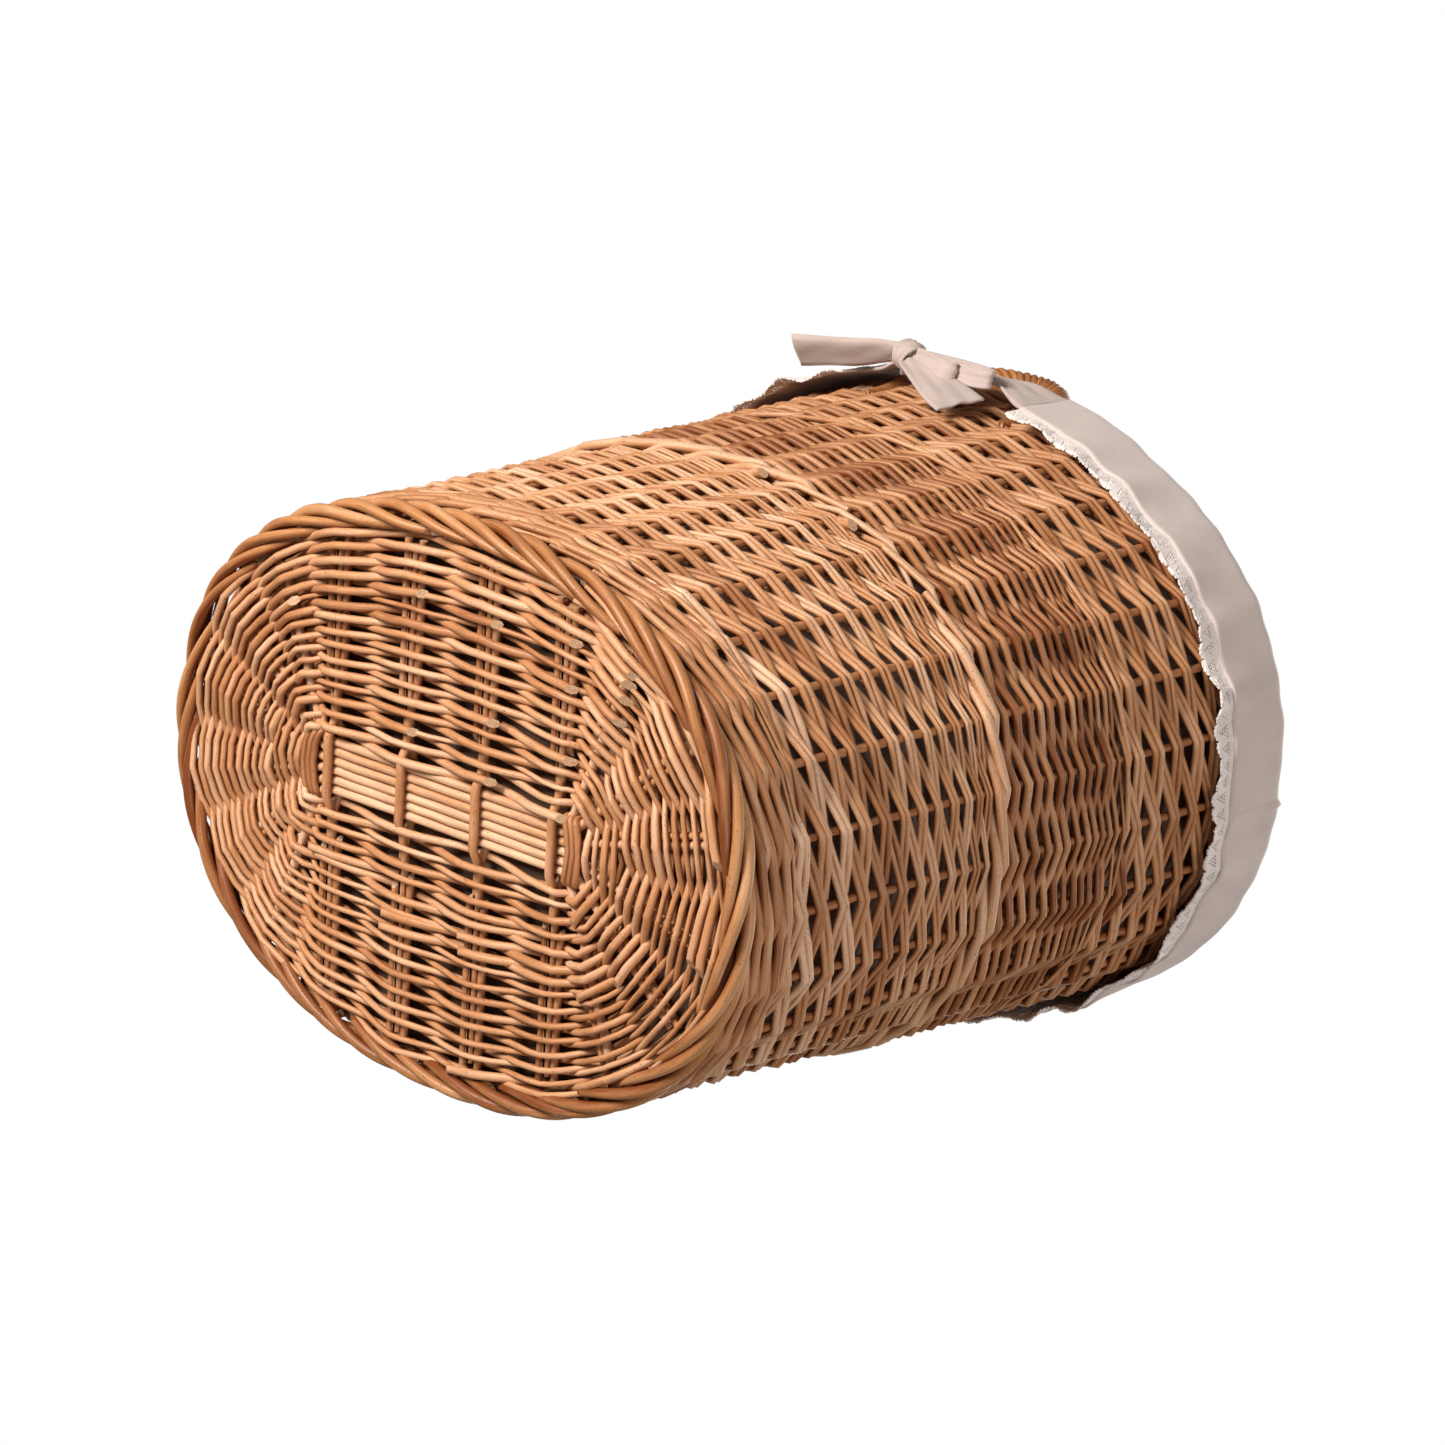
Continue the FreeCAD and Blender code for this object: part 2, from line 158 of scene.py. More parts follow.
class Rods:
    """Bent rods, gathered into one mesh. Each has its own tone, a grain coordinate along it, and painted shade on
    its inner side.
    """

    def __init__(self, name, sides=8):
        self.name = name
        self.sides = sides
        self.kept = []
        self.faces = []
        self.count = 0

    def keep(self, points, grain, tone, cut, painted_shade):
        """Adds vertices with their attributes, and returns the number of the first one."""
        size = len(points)
        self.kept.append((points, grain, np.full(size, tone), np.full(size, cut), np.full(size, painted_shade)))
        self.count += size
        return self.count - size

    def add(self, line, diameter, normal, tone, rng, start_cut=None, end_cut=None):
        """A rod along line, n x 3. normal is a way across it, start_cut and end_cut the way its ends face."""
        count, sides = len(line), self.sides
        radius = np.full(count, np.asarray(diameter, float) / 2)
        tangent = headings(line)
        side = unit(np.cross(tangent, np.asarray(normal, float)))
        up = np.cross(side, tangent)
        turn = np.arange(sides) * TURN / sides
        cos, sin = np.cos(turn), np.sin(turn)
        ring = cos[:, None] * side[:, None, :] + sin[:, None] * up[:, None, :]
        points = line[:, None, :] + radius[:, None, None] * ring
        grain = np.empty((count, sides, 3))
        grain[:, :, 0] = radius[:, None] * cos
        grain[:, :, 1] = radius[:, None] * sin
        grain[:, :, 2] = (lengths_along(line) + rng.random() * GRAIN_SPREAD)[:, None]
        for end, cut, heading in ((0, start_cut, -1), (count - 1, end_cut, 1)):
            if cut is not None:
                face = unit(np.asarray(cut, float))
                lean = max(STEEPEST_CUT, float(tangent[end] @ face) * heading) * heading
                away = (points[end] - line[end]) @ face
                points[end] -= tangent[end] * (away / lean)[:, None]
        # Painted shade: 1 on the side of the rod away from normal, which faces into the weave, and 0 on the side
        # towards normal. The material darkens the rod's colour by it, for the shade that falls between the rods.
        painted_shade = np.tile((1 - sin) / 2, count)
        first = self.keep(points.reshape(-1, 3), grain.reshape(-1, 3), tone, 0.0, painted_shade)
        i = np.arange(count - 1)[:, None] * sides + first
        j = np.arange(sides)[None, :]
        k = (j + 1) % sides
        quads = np.stack([i + j, i + k, i + sides + k, i + sides + j], axis=2)
        self.faces.append(quads.reshape(-1, 4))
        self.cap(points[0][::-1], grain[0][::-1], tone)
        self.cap(points[-1], grain[-1], tone)

    def cap(self, ring, grain, tone):
        """Closes an end of a rod with one flat face."""
        first = self.keep(ring, grain, tone, 1.0, 0.0)
        self.faces.append(np.arange(first, first + self.sides)[None, :])

    def make(self, material, slot, *nodes):
        """Turns the rods into one piece of the basket."""
        points, *columns = (np.concatenate(column) for column in zip(*self.kept))
        mesh = new_mesh(self.name, points, self.faces)
        for key, values in zip(("grain", "tone", "cut", "painted_shade"), columns):
            store(mesh, key, values)
        piece(mesh, material, "basket", slot, *nodes)


def bumps(t, rng):
    """Slow changes of thickness along a rod."""
    knots = np.arange(int(t[-1]) * 2 + 4)
    return 1 + np.interp(t * 2, knots, rng.normal(0, 0.025, len(knots)))


# ---- the wall and its stakes
STAKE_GAP = 0.06           # least angle between the vertices of two stakes, in radians


def stake_lines():
    """Foot and head of every CAD stake, counter-clockwise from the middle of the front."""
    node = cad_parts["side_stakes"]
    points = np.array([v.co for v in node.data.vertices]) / MM
    middle_z = (points[:, 2].min() + points[:, 2].max()) / 2
    ends = []
    for part in (points[points[:, 2] < middle_z], points[points[:, 2] > middle_z]):
        turn = np.mod(np.arctan2(part[:, 1], part[:, 0]) + math.pi / 2, TURN)
        order = np.argsort(turn)
        gaps = np.diff(turn[order], prepend=turn[order][-1] - TURN) > STAKE_GAP
        group = np.cumsum(gaps) % gaps.sum()
        middles = [part[order][group == g].mean(axis=0) for g in range(group.max() + 1)]
        middles.sort(key=lambda p: (math.atan2(p[1], p[0]) + math.pi / 2 + STAKE_GAP / 2) % TURN)
        ends.append(np.array(middles))
    return ends


STAKE_FEET, STAKE_HEADS = stake_lines()
STAKES = len(STAKE_FEET)


def at_stake(k, z):
    """Middle of stake k at height z. Both may be arrays."""
    k = np.mod(np.asarray(k, int), STAKES)
    foot, head = STAKE_FEET[k], STAKE_HEADS[k]
    share = (np.asarray(z, float) - foot[..., 2]) / (head[..., 2] - foot[..., 2])
    return foot + (head - foot) * share[..., None]


def outward(k):
    """Direction out of the wall at stake k."""
    k = np.asarray(k, int)
    along = at_stake(k + 1, FOOT_TOP) - at_stake(k - 1, FOOT_TOP)
    return unit(np.stack([along[..., 1], -along[..., 0], np.zeros(along.shape[:-1])], axis=-1))


CURVED = 0.35              # a weaver runs between a straight chord, 0, and the smooth oval, 1


def wall_point(s, z, out, curved=CURVED):
    """A point of the wall between stakes, s counted in stakes, and the way out of the wall there."""
    k = np.floor(s).astype(int)
    u = (s - k)[:, None]
    a, b, c, d = (at_stake(k + i, z) for i in (-1, 0, 1, 2))
    chord = b + (c - b) * u
    way = unit(outward(k) * (1 - u) + outward(k + 1) * u)
    return chord + (curve_through(a, b, c, d, u) - chord) * curved + way * out[:, None], way


PLACES = (0.0, 0.06, 0.18, 0.5, 0.82, 0.94)   # where a weaver is sampled between two stakes
ROUNDNESS = 0.15                               # 0 is a sharp kink at each stake, 1 a smooth wave


def weaver(outs, heights):
    """A rod past stakes, from its distance out and height at each: places along it, and both there."""
    steps = len(outs) - 1
    t = np.append((np.arange(steps)[:, None] + np.array(PLACES)).ravel(), steps)
    k = np.minimum(np.floor(t).astype(int), steps - 1)
    u = t - k
    eased = u * (1 - ROUNDNESS) + u * u * (3 - 2 * u) * ROUNDNESS
    out = outs[k] * (1 - eased) + outs[k + 1] * eased
    return t, out, heights[k] * (1 - u) + heights[k + 1] * u


# ---- bands of weave
CLIMB_POWER = 2.2          # how late in its run a tapering rod packs closest
WALE_RODS = 3
TONE_SPREAD = 0.13         # how much the rods of a band differ
LIFT_SPREAD = 0.35
WANDER_SPREAD = 0.12
OUT_SPREAD = 0.22
HEIGHT_SPREAD = 0.25
FAT_SPREAD = 0.05          # as a share of the thickness


def climb(share, packing):
    """Height gained by a tapering rod, from 0 to 1, as its share of the way goes from 0 to 1."""
    power = CLIMB_POWER + 1
    return (share - packing * share**power / power) / (1 - packing / power)


def rand_band(rods, rng, low, high, steps, thick, thin, halves, packing, tone):
    """French randing: a rod starts behind every stake and goes in front of one and behind one.

    halves says where the rods at one stake lie, in thicknesses up or down: (0.0,) for one rod.
    """
    stations = np.arange(steps + 1)
    share = stations / steps
    rise = low + climb(share, packing) * (high - low)
    size = thick + (thin - thick) * share**1.2
    face = np.where(stations % 2 == 1, 1.0, -1.0)
    for start in range(STAKES):
        own_tone = tone + rng.normal(0, TONE_SPREAD)
        lift = rng.normal(0, LIFT_SPREAD)
        fat = 1 + rng.normal(0, FAT_SPREAD)
        wander = np.cumsum(rng.normal(0, WANDER_SPREAD, steps + 1))
        wander -= np.linspace(wander[0], wander[-1], steps + 1)
        for half in halves:
            d = size * fat * (1 + rng.normal(0, FAT_SPREAD))
            outs = face * (STAKE_D + d) / 2 + rng.normal(0, OUT_SPREAD, steps + 1)
            heights = rise + lift + wander + rng.normal(0, HEIGHT_SPREAD, steps + 1)
            t, out, z = weaver(outs, heights)
            width = np.interp(t, stations, d)
            twist = np.sin(math.pi * t) ** 2
            z = z + half * width * (1 - 0.2 * twist)
            out = out + half * 0.5 * width * twist
            line, way = wall_point(start + t, z, out)
            rods.add(line, width * bumps(t, rng), way, own_tone + rng.normal(0, 0.05), rng)


def wale(rods, rng, low, pitch, rows, thick, tone, first=0):
    """Three-rod waling: each rod passes in front of two stakes and behind one, round and round."""
    steps = rows * STAKES
    stations = np.arange(steps + 1)
    phase = stations % WALE_RODS
    reach = (STAKE_D + thick) / 2
    stroke = np.select([phase == 0, phase == 1], [-thick / 2, thick / 2], 0.0)
    for start in range(WALE_RODS):
        own_tone = tone + rng.normal(0, 0.08)
        outs = np.where(phase == 2, -reach, reach * 0.93) + rng.normal(0, 0.2, steps + 1)
        heights = low + pitch * (stations + start) / STAKES + stroke
        heights += rng.normal(0, HEIGHT_SPREAD, steps + 1)
        t, out, z = weaver(outs, heights)
        line, way = wall_point(first + start + t, z, out)
        ends = np.clip(np.minimum(t, steps - t) / WALE_RODS, 0.6, 1)
        rods.add(line, thick * ends * bumps(t, rng), way, own_tone, rng)


def wale_butt(rods, rng, s, z, thick):
    """The thick end of a wale's rod, cut off where it comes out of the wall under the wale."""
    share = np.linspace(0, 1, 8)
    out = -1.5 + (STAKE_D / 2 + thick * 0.6 + 1.5) * share
    line, way = wall_point(s + (share - 1) / 2, z + 2.5 * (1 - share), out)
    rods.add(line, thick, way, 0.6, rng, end_cut=unit(line[-1] - line[0]) + way[-1])


WALL = (                   # from the foot up: name, CAD node, and what is woven
    ("upsett_rods", "upsett_wale", (
        (wale, dict(low=FOOT_TOP + 1.5, pitch=7.8, rows=3, thick=4.8, tone=0.48)),
        (wale, dict(low=FOOT_TOP + 25.5, pitch=3.0, rows=1, thick=3.2, tone=0.5, first=5)),
    )),
    ("lower_rods", "lower_weave", (
        (rand_band, dict(low=UPSETT_TOP - 2.5, high=LOWER_TOP + 0.8, steps=24, thick=3.9, thin=2.1,
                         halves=(-0.5, 0.5), packing=0.62, tone=0.6)),
    )),
    ("middle_wale_rods", "middle_wale", (
        (wale, dict(low=LOWER_TOP + 5.6, pitch=1.0, rows=1, thick=5.8, tone=0.72, first=2)),
        (wale_butt, dict(s=0.35, z=LOWER_TOP - 1.5, thick=6.2)),
        (wale_butt, dict(s=2.4, z=LOWER_TOP - 1.5, thick=6.2)),
    )),
    ("middle_rods", "middle_weave", (
        (rand_band, dict(low=MIDDLE_WALE_TOP - 2.0, high=MIDDLE_TOP - 0.5, steps=24, thick=4.8, thin=2.5,
                         halves=(0.0,), packing=0.55, tone=0.33)),
    )),
    ("upper_wale_rods", "upper_wale", (
        (wale, dict(low=MIDDLE_TOP + 3.5, pitch=1.0, rows=1, thick=3.0, tone=0.6, first=9)),
    )),
    ("upper_rods", "upper_weave", (
        (rand_band, dict(low=UPPER_WALE_TOP - 3.5, high=UPPER_TOP + 0.5, steps=13, thick=4.0, thin=3.3,
                         halves=(-0.5, 0.5), packing=0.15, tone=0.46)),
    )),
)


def make_wall(material):
    """The courses of twisted rods and the bands of weave between them."""
    rng = seeded("wall")
    for name, node, courses in WALL:
        rods = Rods(name)
        for weave, sizes in courses:
            weave(rods, rng, **sizes)
        rods.make(material, "willow_side", node)


def make_stakes(material):
    """The upright rods inside the wall."""
    rods = Rods("side_rods", 10)
    rng = seeded("stakes")
    heights = np.linspace(FOOT_TOP - 6, UPPER_TOP + 2, 40)
    for k in range(STAKES):
        line = at_stake(np.full(len(heights), k), heights)
        line += rng.normal(0, 0.25, line.shape) * (1, 1, 0)
        thick = STAKE_D + rng.normal(0, 0.15)
        rods.add(line, thick, (0, 0, 1) + outward(k) * 5, 0.35 + rng.normal(0, 0.1), rng)
    rods.make(material, "willow_side", "side_stakes")


# ---- rope borders
BORDER_START = math.radians(108)     # where on the rope's round a rod comes up


def rope_border(rods, rng, middle_z, half_out, half_z, thick, turns, span, tone, start_up, cut_share, shift):
    """A rod from every stake goes round the edge with the others, like the strands of a rope.

    span is how many stakes it passes, start_up the height that it comes from at its own stake.
    """
    t = np.linspace(0, 1, 34)
    head = np.clip(1 - t / 0.09, 0, 1) ** 2
    for k in range(STAKES):
        own_span = span + rng.normal(0, 0.15)
        turn = BORDER_START - t * turns * TURN + rng.normal(0, 0.08)
        s = k + shift + own_span * t + rng.normal(0, 0.05) - head * 0.12
        size = thick * (1 + rng.normal(0, 0.04))
        swell = 1 + 0.05 * np.sin(t * 9 + rng.random() * 6)
        out = half_out * (np.cos(turn) * swell - head * 0.9)
        z = middle_z + half_z * np.sin(turn) * swell + head * start_up
        line, way = wall_point(s, z, out, curved=1.0)
        cut = (0, 0, -1) if rng.random() < cut_share else None
        own_tone = tone + rng.normal(0, 0.11)
        rods.add(line, size * (1 - 0.28 * t**2), way + (0, 0, 0.01), own_tone, rng, end_cut=cut)


def make_borders(foot_material, rim_material):
    """The foot that the basket stands on, and the rim under the cloth."""
    rng = seeded("borders")
    rods = Rods("foot_rods", 10)
    rope_border(rods, rng, middle_z=9.9, half_out=5.6, half_z=5.9, thick=6.8, turns=0.82, span=3.7,
                tone=0.5, start_up=9.0, cut_share=0.7, shift=0.0)
    rods.make(foot_material, "willow_foot", "foot_border")
    rods = Rods("rim_rods", 10)
    rope_border(rods, rng, middle_z=(UPPER_TOP + RIM_TOP) / 2 - 0.8, half_out=3.9, half_z=7.6, thick=5.4,
                turns=0.9, span=4.2, tone=0.4, start_up=-10.0, cut_share=0.0, shift=0.2)
    rods.make(rim_material, "willow_side", "rim_border")


# ---- base
STICK_Z = 9.0
SHORT_STICK_D = 6.0
SHORT_STICKS = 4
FIRST_STICK_X = box_mm("base_short_sticks")[0][0] + SHORT_STICK_D / 2
LAST_STICK_X = box_mm("base_short_sticks")[1][0] - SHORT_STICK_D / 2
LONG_STICK_D = 5.0
LONG_STICKS = 6
LONG_PITCH = 5.2
SLATH_MIDDLE = (FIRST_STICK_X + LAST_STICK_X) / 2
SLATH_HALF = 94.0
SLATH_WIDE = LONG_STICKS * LONG_PITCH / 2
FAN_ANGLES = (14.0, 40.0, 68.0)      # of the long sticks' ends, from the middle pair outwards
PLATE_A, PLATE_B = box_mm("base_weave")[1][:2]
BASE_ROWS = 30
GROUPED_ROWS = 8                     # near the middle, two long sticks count as one rib
ROD_REACH = 2.9                      # from the sticks' middle to the near face of a base weaver
SHORT_RIB = 8.0                      # half width, with the stakes' ends beside it
LONG_RIB = 1.5
FAN_START = 9.0                      # from a long stick's corner to where its fan is woven
ROD_LENGTH = (760, 1080)             # least and most, of a base weaver
ROD_THICK = (4.5, 5.2)
ROD_THIN = (2.5, 3.3)
BUTT_LENGTH = (7.0, 13.0)            # of the thick end that sticks out past its first rib
BUTT_HEIGHTS = (3.4, 14.8)
BASE_SHAPE = ((0.32, 0.22), (0.5, 0.5), (0.68, 0.78))    # share of the way, and of the change of height


def to_edge(start, heading, inside=-2.5):
    """Where a line from start meets the outline of the base, or a line that far inside it."""
    length = 10.0
    while True:
        x, y = start + heading * length
        if (abs(x) / (PLATE_A - inside)) ** FULLNESS + (abs(y) / (PLATE_B - inside)) ** FULLNESS >= 1:
            return start + heading * length
        length += 0.5


def fan_stick(row, way):
    """Corner and direction of a long stick's end. way is -1 at the left and 1 at the right."""
    offset = row - (LONG_STICKS - 1) / 2
    angle = math.radians(FAN_ANGLES[int(abs(offset))]) * math.copysign(1, offset)
    corner = np.array([SLATH_MIDDLE + way * SLATH_HALF, offset * LONG_PITCH])
    return corner, np.array([way * math.cos(angle), math.sin(angle)])


def stick_x(i):
    """Middle of a short stick."""
    return FIRST_STICK_X + (LAST_STICK_X - FIRST_STICK_X) * i / (SHORT_STICKS - 1)


def base_ribs(group):
    """What the base is woven on, clockwise from above: start, end and half width of every rib.

    group long sticks count as one rib.
    """
    ribs = []
    for way in (-1, 1):
        for x in [stick_x(i) for i in range(SHORT_STICKS)][::way]:
            start = np.array([x, way * (SLATH_WIDE + 1.0)])
            ribs.append((start, to_edge(start, np.array([0.0, way])), SHORT_RIB))
        rows = list(range(LONG_STICKS))[::-way]
        for first in range(0, LONG_STICKS, group):
            ends = [fan_stick(row, way) for row in rows[first:first + group]]
            heading = unit(sum(h for _, h in ends) / group)
            start = sum(c for c, _ in ends) / group + heading * FAN_START
            ribs.append((start, to_edge(start, heading), LONG_RIB))
    return ribs


def bulge_between(rib_a, rib_b, gap):
    """How far a weaver bends out of the straight line between two ribs that fan apart."""
    middle = sum(unit(rib[1] - rib[0]) for rib in (rib_a, rib_b))
    length = np.linalg.norm(middle)
    half_turn = math.acos(min(1.0, length / 2))
    return middle / length * gap / 2 * math.tan(half_turn / 2) * 0.8


def base_course(ribs, steps, share, sizes, signs):
    """Points of a base weaver over and under its ribs, at a share of each rib's length, and its thickness."""
    passed = [ribs[i % len(ribs)] for i in steps]
    places = [start + (end - start) * own for (start, end, _), own in zip(passed, share)]
    reaches = (ROD_REACH + sizes / 2) * signs
    points, diameters = [], []
    for n, (rib_a, rib_b) in enumerate(zip(passed, passed[1:])):
        a, b = places[n:n + 2]
        gap = np.linalg.norm(b - a)
        flat_a, flat_b = (min(rib[2] / gap, 0.2) for rib in (rib_a, rib_b))
        bulge = bulge_between(rib_a, rib_b, gap)
        for u, e in ((0.0, 0.0), (flat_a, 0.03), *BASE_SHAPE, (1 - flat_b, 0.97)):
            spot = a + (b - a) * u + bulge * 4 * u * (1 - u)
            points.append((*spot, STICK_Z + reaches[n] * (1 - e) + reaches[n + 1] * e))
            diameters.append(sizes[n] * (1 - u) + sizes[n + 1] * u)
    return np.array(points), diameters


def base_rod(rods, rng, ribs, first, last, row, sign, tone):
    """One weaver of the base, over one rib and under the next, from rib first to rib last."""
    sizes = np.linspace(rng.uniform(*ROD_THICK), rng.uniform(*ROD_THIN), last - first + 1)
    steps = np.arange(first, last + 1)
    signs = np.where(steps % 2 == 0, sign, -sign)
    share = (row + 2.0 * steps / len(ribs)) / BASE_ROWS
    share = share + rng.normal(0, 0.005, len(steps)) + rng.normal(0, 0.004)
    points, diameters = base_course(ribs, steps, share, sizes, signs)
    points += rng.normal(0, 0.12, points.shape)
    start_way = unit(points[0] - points[3])
    butt = points[0] + start_way * rng.uniform(*BUTT_LENGTH) + (0, 0, -1.5 * signs[0] * sign)
    butt[2] = np.clip(butt[2], *BUTT_HEIGHTS)
    face = start_way + (0, 0, -1.1 if signs[0] < 0 else 1.1)
    rods.add(np.concatenate([[butt], points]), np.array([diameters[0]] + diameters), (0, 0, -1), tone, rng,
             start_cut=face)


def mean_gap(ribs, row, first):
    """Mean distance between two ribs, on the way round at a row."""
    share = (row + 2.0 * first / len(ribs)) / BASE_ROWS
    places = [a + (b - a) * share for a, b, _ in ribs]
    return sum(np.linalg.norm(b - a) for a, b in zip(places, places[1:] + places[:1])) / len(ribs)


def make_base_weave(material):
    """Two weavers at a time, each over where the other is under, from the middle to the edge."""
    rng = seeded("base")
    rods = Rods("base_rods")
    for group, row_from, row_to in ((2, 0, GROUPED_ROWS), (1, GROUPED_ROWS, BASE_ROWS)):
        ribs = base_ribs(group)
        count = len(ribs)
        last_step = (row_to - row_from) * count // 2
        for which, sign in ((0, -1), (1, 1)):
            row = row_from + which
            step = which
            while step < last_step - 4:
                steps = int(rng.uniform(*ROD_LENGTH) / mean_gap(ribs, row, step))
                if last_step - step - steps < count // 3:
                    steps = last_step - step
                end = min(step + steps, last_step)
                base_rod(rods, rng, ribs, step, end, row, sign, tone=0.6 + rng.normal(0, 0.13))
                step = end - (end + which) % 2
    rods.make(material, "willow_base", "base_weave")


def make_long_sticks(material, rng):
    """The sticks side by side along the base, whose ends fan out."""
    rods = Rods("base_long_rods", 10)
    for row in range(LONG_STICKS):
        corner_l, heading_l = fan_stick(row, -1)
        corner_r, heading_r = fan_stick(row, 1)
        tip_l = to_edge(corner_l, heading_l, 6.0)
        tip_r = to_edge(corner_r, heading_r, 6.0)
        spots = [tip_l + (corner_l - tip_l) * u for u in np.linspace(0, 0.93, 8)]
        spots += [corner_l + (corner_r - corner_l) * u for u in np.linspace(0.02, 0.98, 16)]
        spots += [corner_r + (tip_r - corner_r) * u for u in np.linspace(0.07, 1, 8)]
        line = np.array([(x, y, STICK_Z) for x, y in spots])
        line[:, 1:] += rng.normal(0, 0.12, (len(line), 2))
        thick = LONG_STICK_D * bumps(np.arange(len(line)) / 2, rng)
        rods.add(line, thick, (0, 0, -1), 0.85 + rng.normal(0, 0.08), rng)
    rods.make(material, "willow_base", "base_long_sticks")


def split_stick(rods, rng, i):
    """A short stick, in two halves that pass under and over the long sticks."""
    tip = abs(to_edge(np.array([stick_x(i), 0.0]), np.array([0.0, 1.0]), 6.0)[1])
    y = np.concatenate([np.linspace(-tip, -30, 10), np.linspace(-24, 24, 13), np.linspace(30, tip, 10)])
    for way in (-1, 1):
        lift = way * 4.9 * np.clip((26 - np.abs(y)) / 9, 0, 1)
        line = np.stack([np.full(len(y), stick_x(i)), y, STICK_Z + lift], axis=1)
        line[:, 0] += rng.normal(0, 0.15, len(y))
        wide = np.where(np.abs(lift) > 1, 5.0, 5.6)
        rods.add(line, wide, (0, 0, -1), 0.6 + rng.normal(0, 0.08), rng)


def straight_rod(rods, rng, start, heading, thick, tone):
    """A rod in the base from start almost to the edge, with its cut end at the start."""
    end = to_edge(start, heading, 3.0)
    line = np.array([(*(start + (end - start) * u), STICK_Z) for u in np.linspace(0, 1, 10)])
    line += rng.normal(0, 0.12, line.shape)
    face = (*unit(start - end), -1.2)
    rods.add(line, thick, (0, 0, -1), tone + rng.normal(0, 0.1), rng, start_cut=face)


def bind_slath(rods, rng, way):
    """The first turns of a weaver, round all the long sticks at once."""
    turns, thick = 3, 3.7
    end_x = LAST_STICK_X if way > 0 else FIRST_STICK_X
    t = np.linspace(0, turns * TURN, turns * 28 + 1)
    half_y = SLATH_WIDE + thick / 2
    half_z = LONG_STICK_D / 2 + thick / 2
    y = np.sign(np.cos(t)) * half_y * np.abs(np.cos(t)) ** 0.35
    z = STICK_Z + np.sign(np.sin(t)) * half_z * np.abs(np.sin(t)) ** 0.5
    x = end_x + way * (5.2 + thick * 1.02 * t / TURN + 4.0 * (1 - (y / half_y) ** 2))
    rods.add(np.stack([x, y, z], axis=1), thick, (1, 0, 0), 0.5 + rng.normal(0, 0.05), rng)


def make_base_sticks(material):
    """The cross of sticks, with the ends of the side's stakes pushed in beside them."""
    rng = seeded("sticks")
    make_long_sticks(material, rng)
    rods = Rods("base_short_rods", 10)
    for i in range(SHORT_STICKS):
        split_stick(rods, rng, i)
        for side in (-1, 1):
            for aside in (-5.6, 5.6):
                start = np.array([stick_x(i) + aside, side * rng.uniform(40, 52)])
                straight_rod(rods, rng, start, np.array([0.0, side]), thick=4.3, tone=0.42)
    for way in (-1, 1):
        for row in range(LONG_STICKS):
            corner, heading = fan_stick(row, way)
            aside = np.array([-heading[1], heading[0]]) * 4.8 * (1 if row % 2 else -1)
            start = corner + heading * rng.uniform(34, 52) + aside
            straight_rod(rods, rng, start, heading, thick=4.2, tone=0.45)
        bind_slath(rods, rng, way)
    rods.make(material, "willow_base", "base_short_sticks")


# ---- handles
HANDLE_LOW, HANDLE_HIGH = box_mm("handle_wrap_front")
HANDLE_D = 17.0
HANDLE_CORE_D = 9.0
HANDLE_Y = 163.0           # distance from the middle at the top of the weave
HANDLE_LEAN = math.radians(4.5)
HANDLE_LEFT = HANDLE_LOW[0] + HANDLE_D / 2
HANDLE_RIGHT = HANDLE_HIGH[0] - HANDLE_D / 2
GRIP_Z = UPPER_TOP + (HANDLE_HIGH[2] - HANDLE_D / 2 - UPPER_TOP) / math.cos(HANDLE_LEAN)
HANDLE_BEND = 48.0
LEG_FOOT = 372.0
HANDLE_STEP = 2.0          # between the points of a handle's centre line
HANDLE_STRANDS = 8
STRAND_D = 4.3
HANDLE_LAY = 44.0          # length of one turn of a strand


def handle_line(side):
    """Centre line of a handle, and how far along it each point is."""
    shoulder = GRIP_Z - HANDLE_BEND
    corners = [(HANDLE_LEFT + HANDLE_BEND, 180.0, 90.0), (HANDLE_RIGHT - HANDLE_BEND, 90.0, 0.0)]
    points = [(HANDLE_LEFT, 0.0, z) for z in np.arange(LEG_FOOT, shoulder, HANDLE_STEP)]
    for x, from_angle, to_angle in corners:
        for angle in np.radians(np.linspace(from_angle, to_angle, 24)):
            points.append((x + HANDLE_BEND * math.cos(angle), 0.0, shoulder + HANDLE_BEND * math.sin(angle)))
    points += [(HANDLE_RIGHT, 0.0, z) for z in np.arange(shoulder, LEG_FOOT, -HANDLE_STEP)[1:]]
    points = np.array(points)
    run = lengths_along(points)
    even = np.arange(0, run[-1], HANDLE_STEP)
    line = sample(even, run, points)
    above = line[:, 2] - UPPER_TOP
    line[:, 1] = side * (HANDLE_Y + above * math.sin(HANDLE_LEAN))
    line[:, 2] = UPPER_TOP + above * math.cos(HANDLE_LEAN)
    return line, even


def make_handle(material, name, side):
    """A handle: strands wound round a core, drawn in where its legs go into the weave."""
    rng = seeded("handle", side)
    rods = Rods("handle_rods_" + name)
    line, run = handle_line(side)
    across = np.array([0.0, math.cos(HANDLE_LEAN), -side * math.sin(HANDLE_LEAN)])
    inward = np.cross(headings(line), across)
    buried = np.clip((RIM_TOP - 8 - line[:, 2]) / 25, 0, 1)
    for strand in range(HANDLE_STRANDS):
        turn = TURN * (strand / HANDLE_STRANDS + run / HANDLE_LAY) + rng.normal(0, 0.05)
        reach = (HANDLE_D - STRAND_D) / 2 * (1 - 0.45 * buried) * (1 + 0.03 * np.sin(run / 11 + strand * 2))
        way = reach[:, None] * (np.cos(turn)[:, None] * across + np.sin(turn)[:, None] * inward)
        rods.add(line + way, STRAND_D * bumps(run / 12, rng), way, 0.4 + rng.normal(0, 0.09), rng)
    rods.add(line, HANDLE_CORE_D, across, 0.2, rng)
    rods.make(material, "willow_handle", "handle_core_" + name, "handle_wrap_" + name)


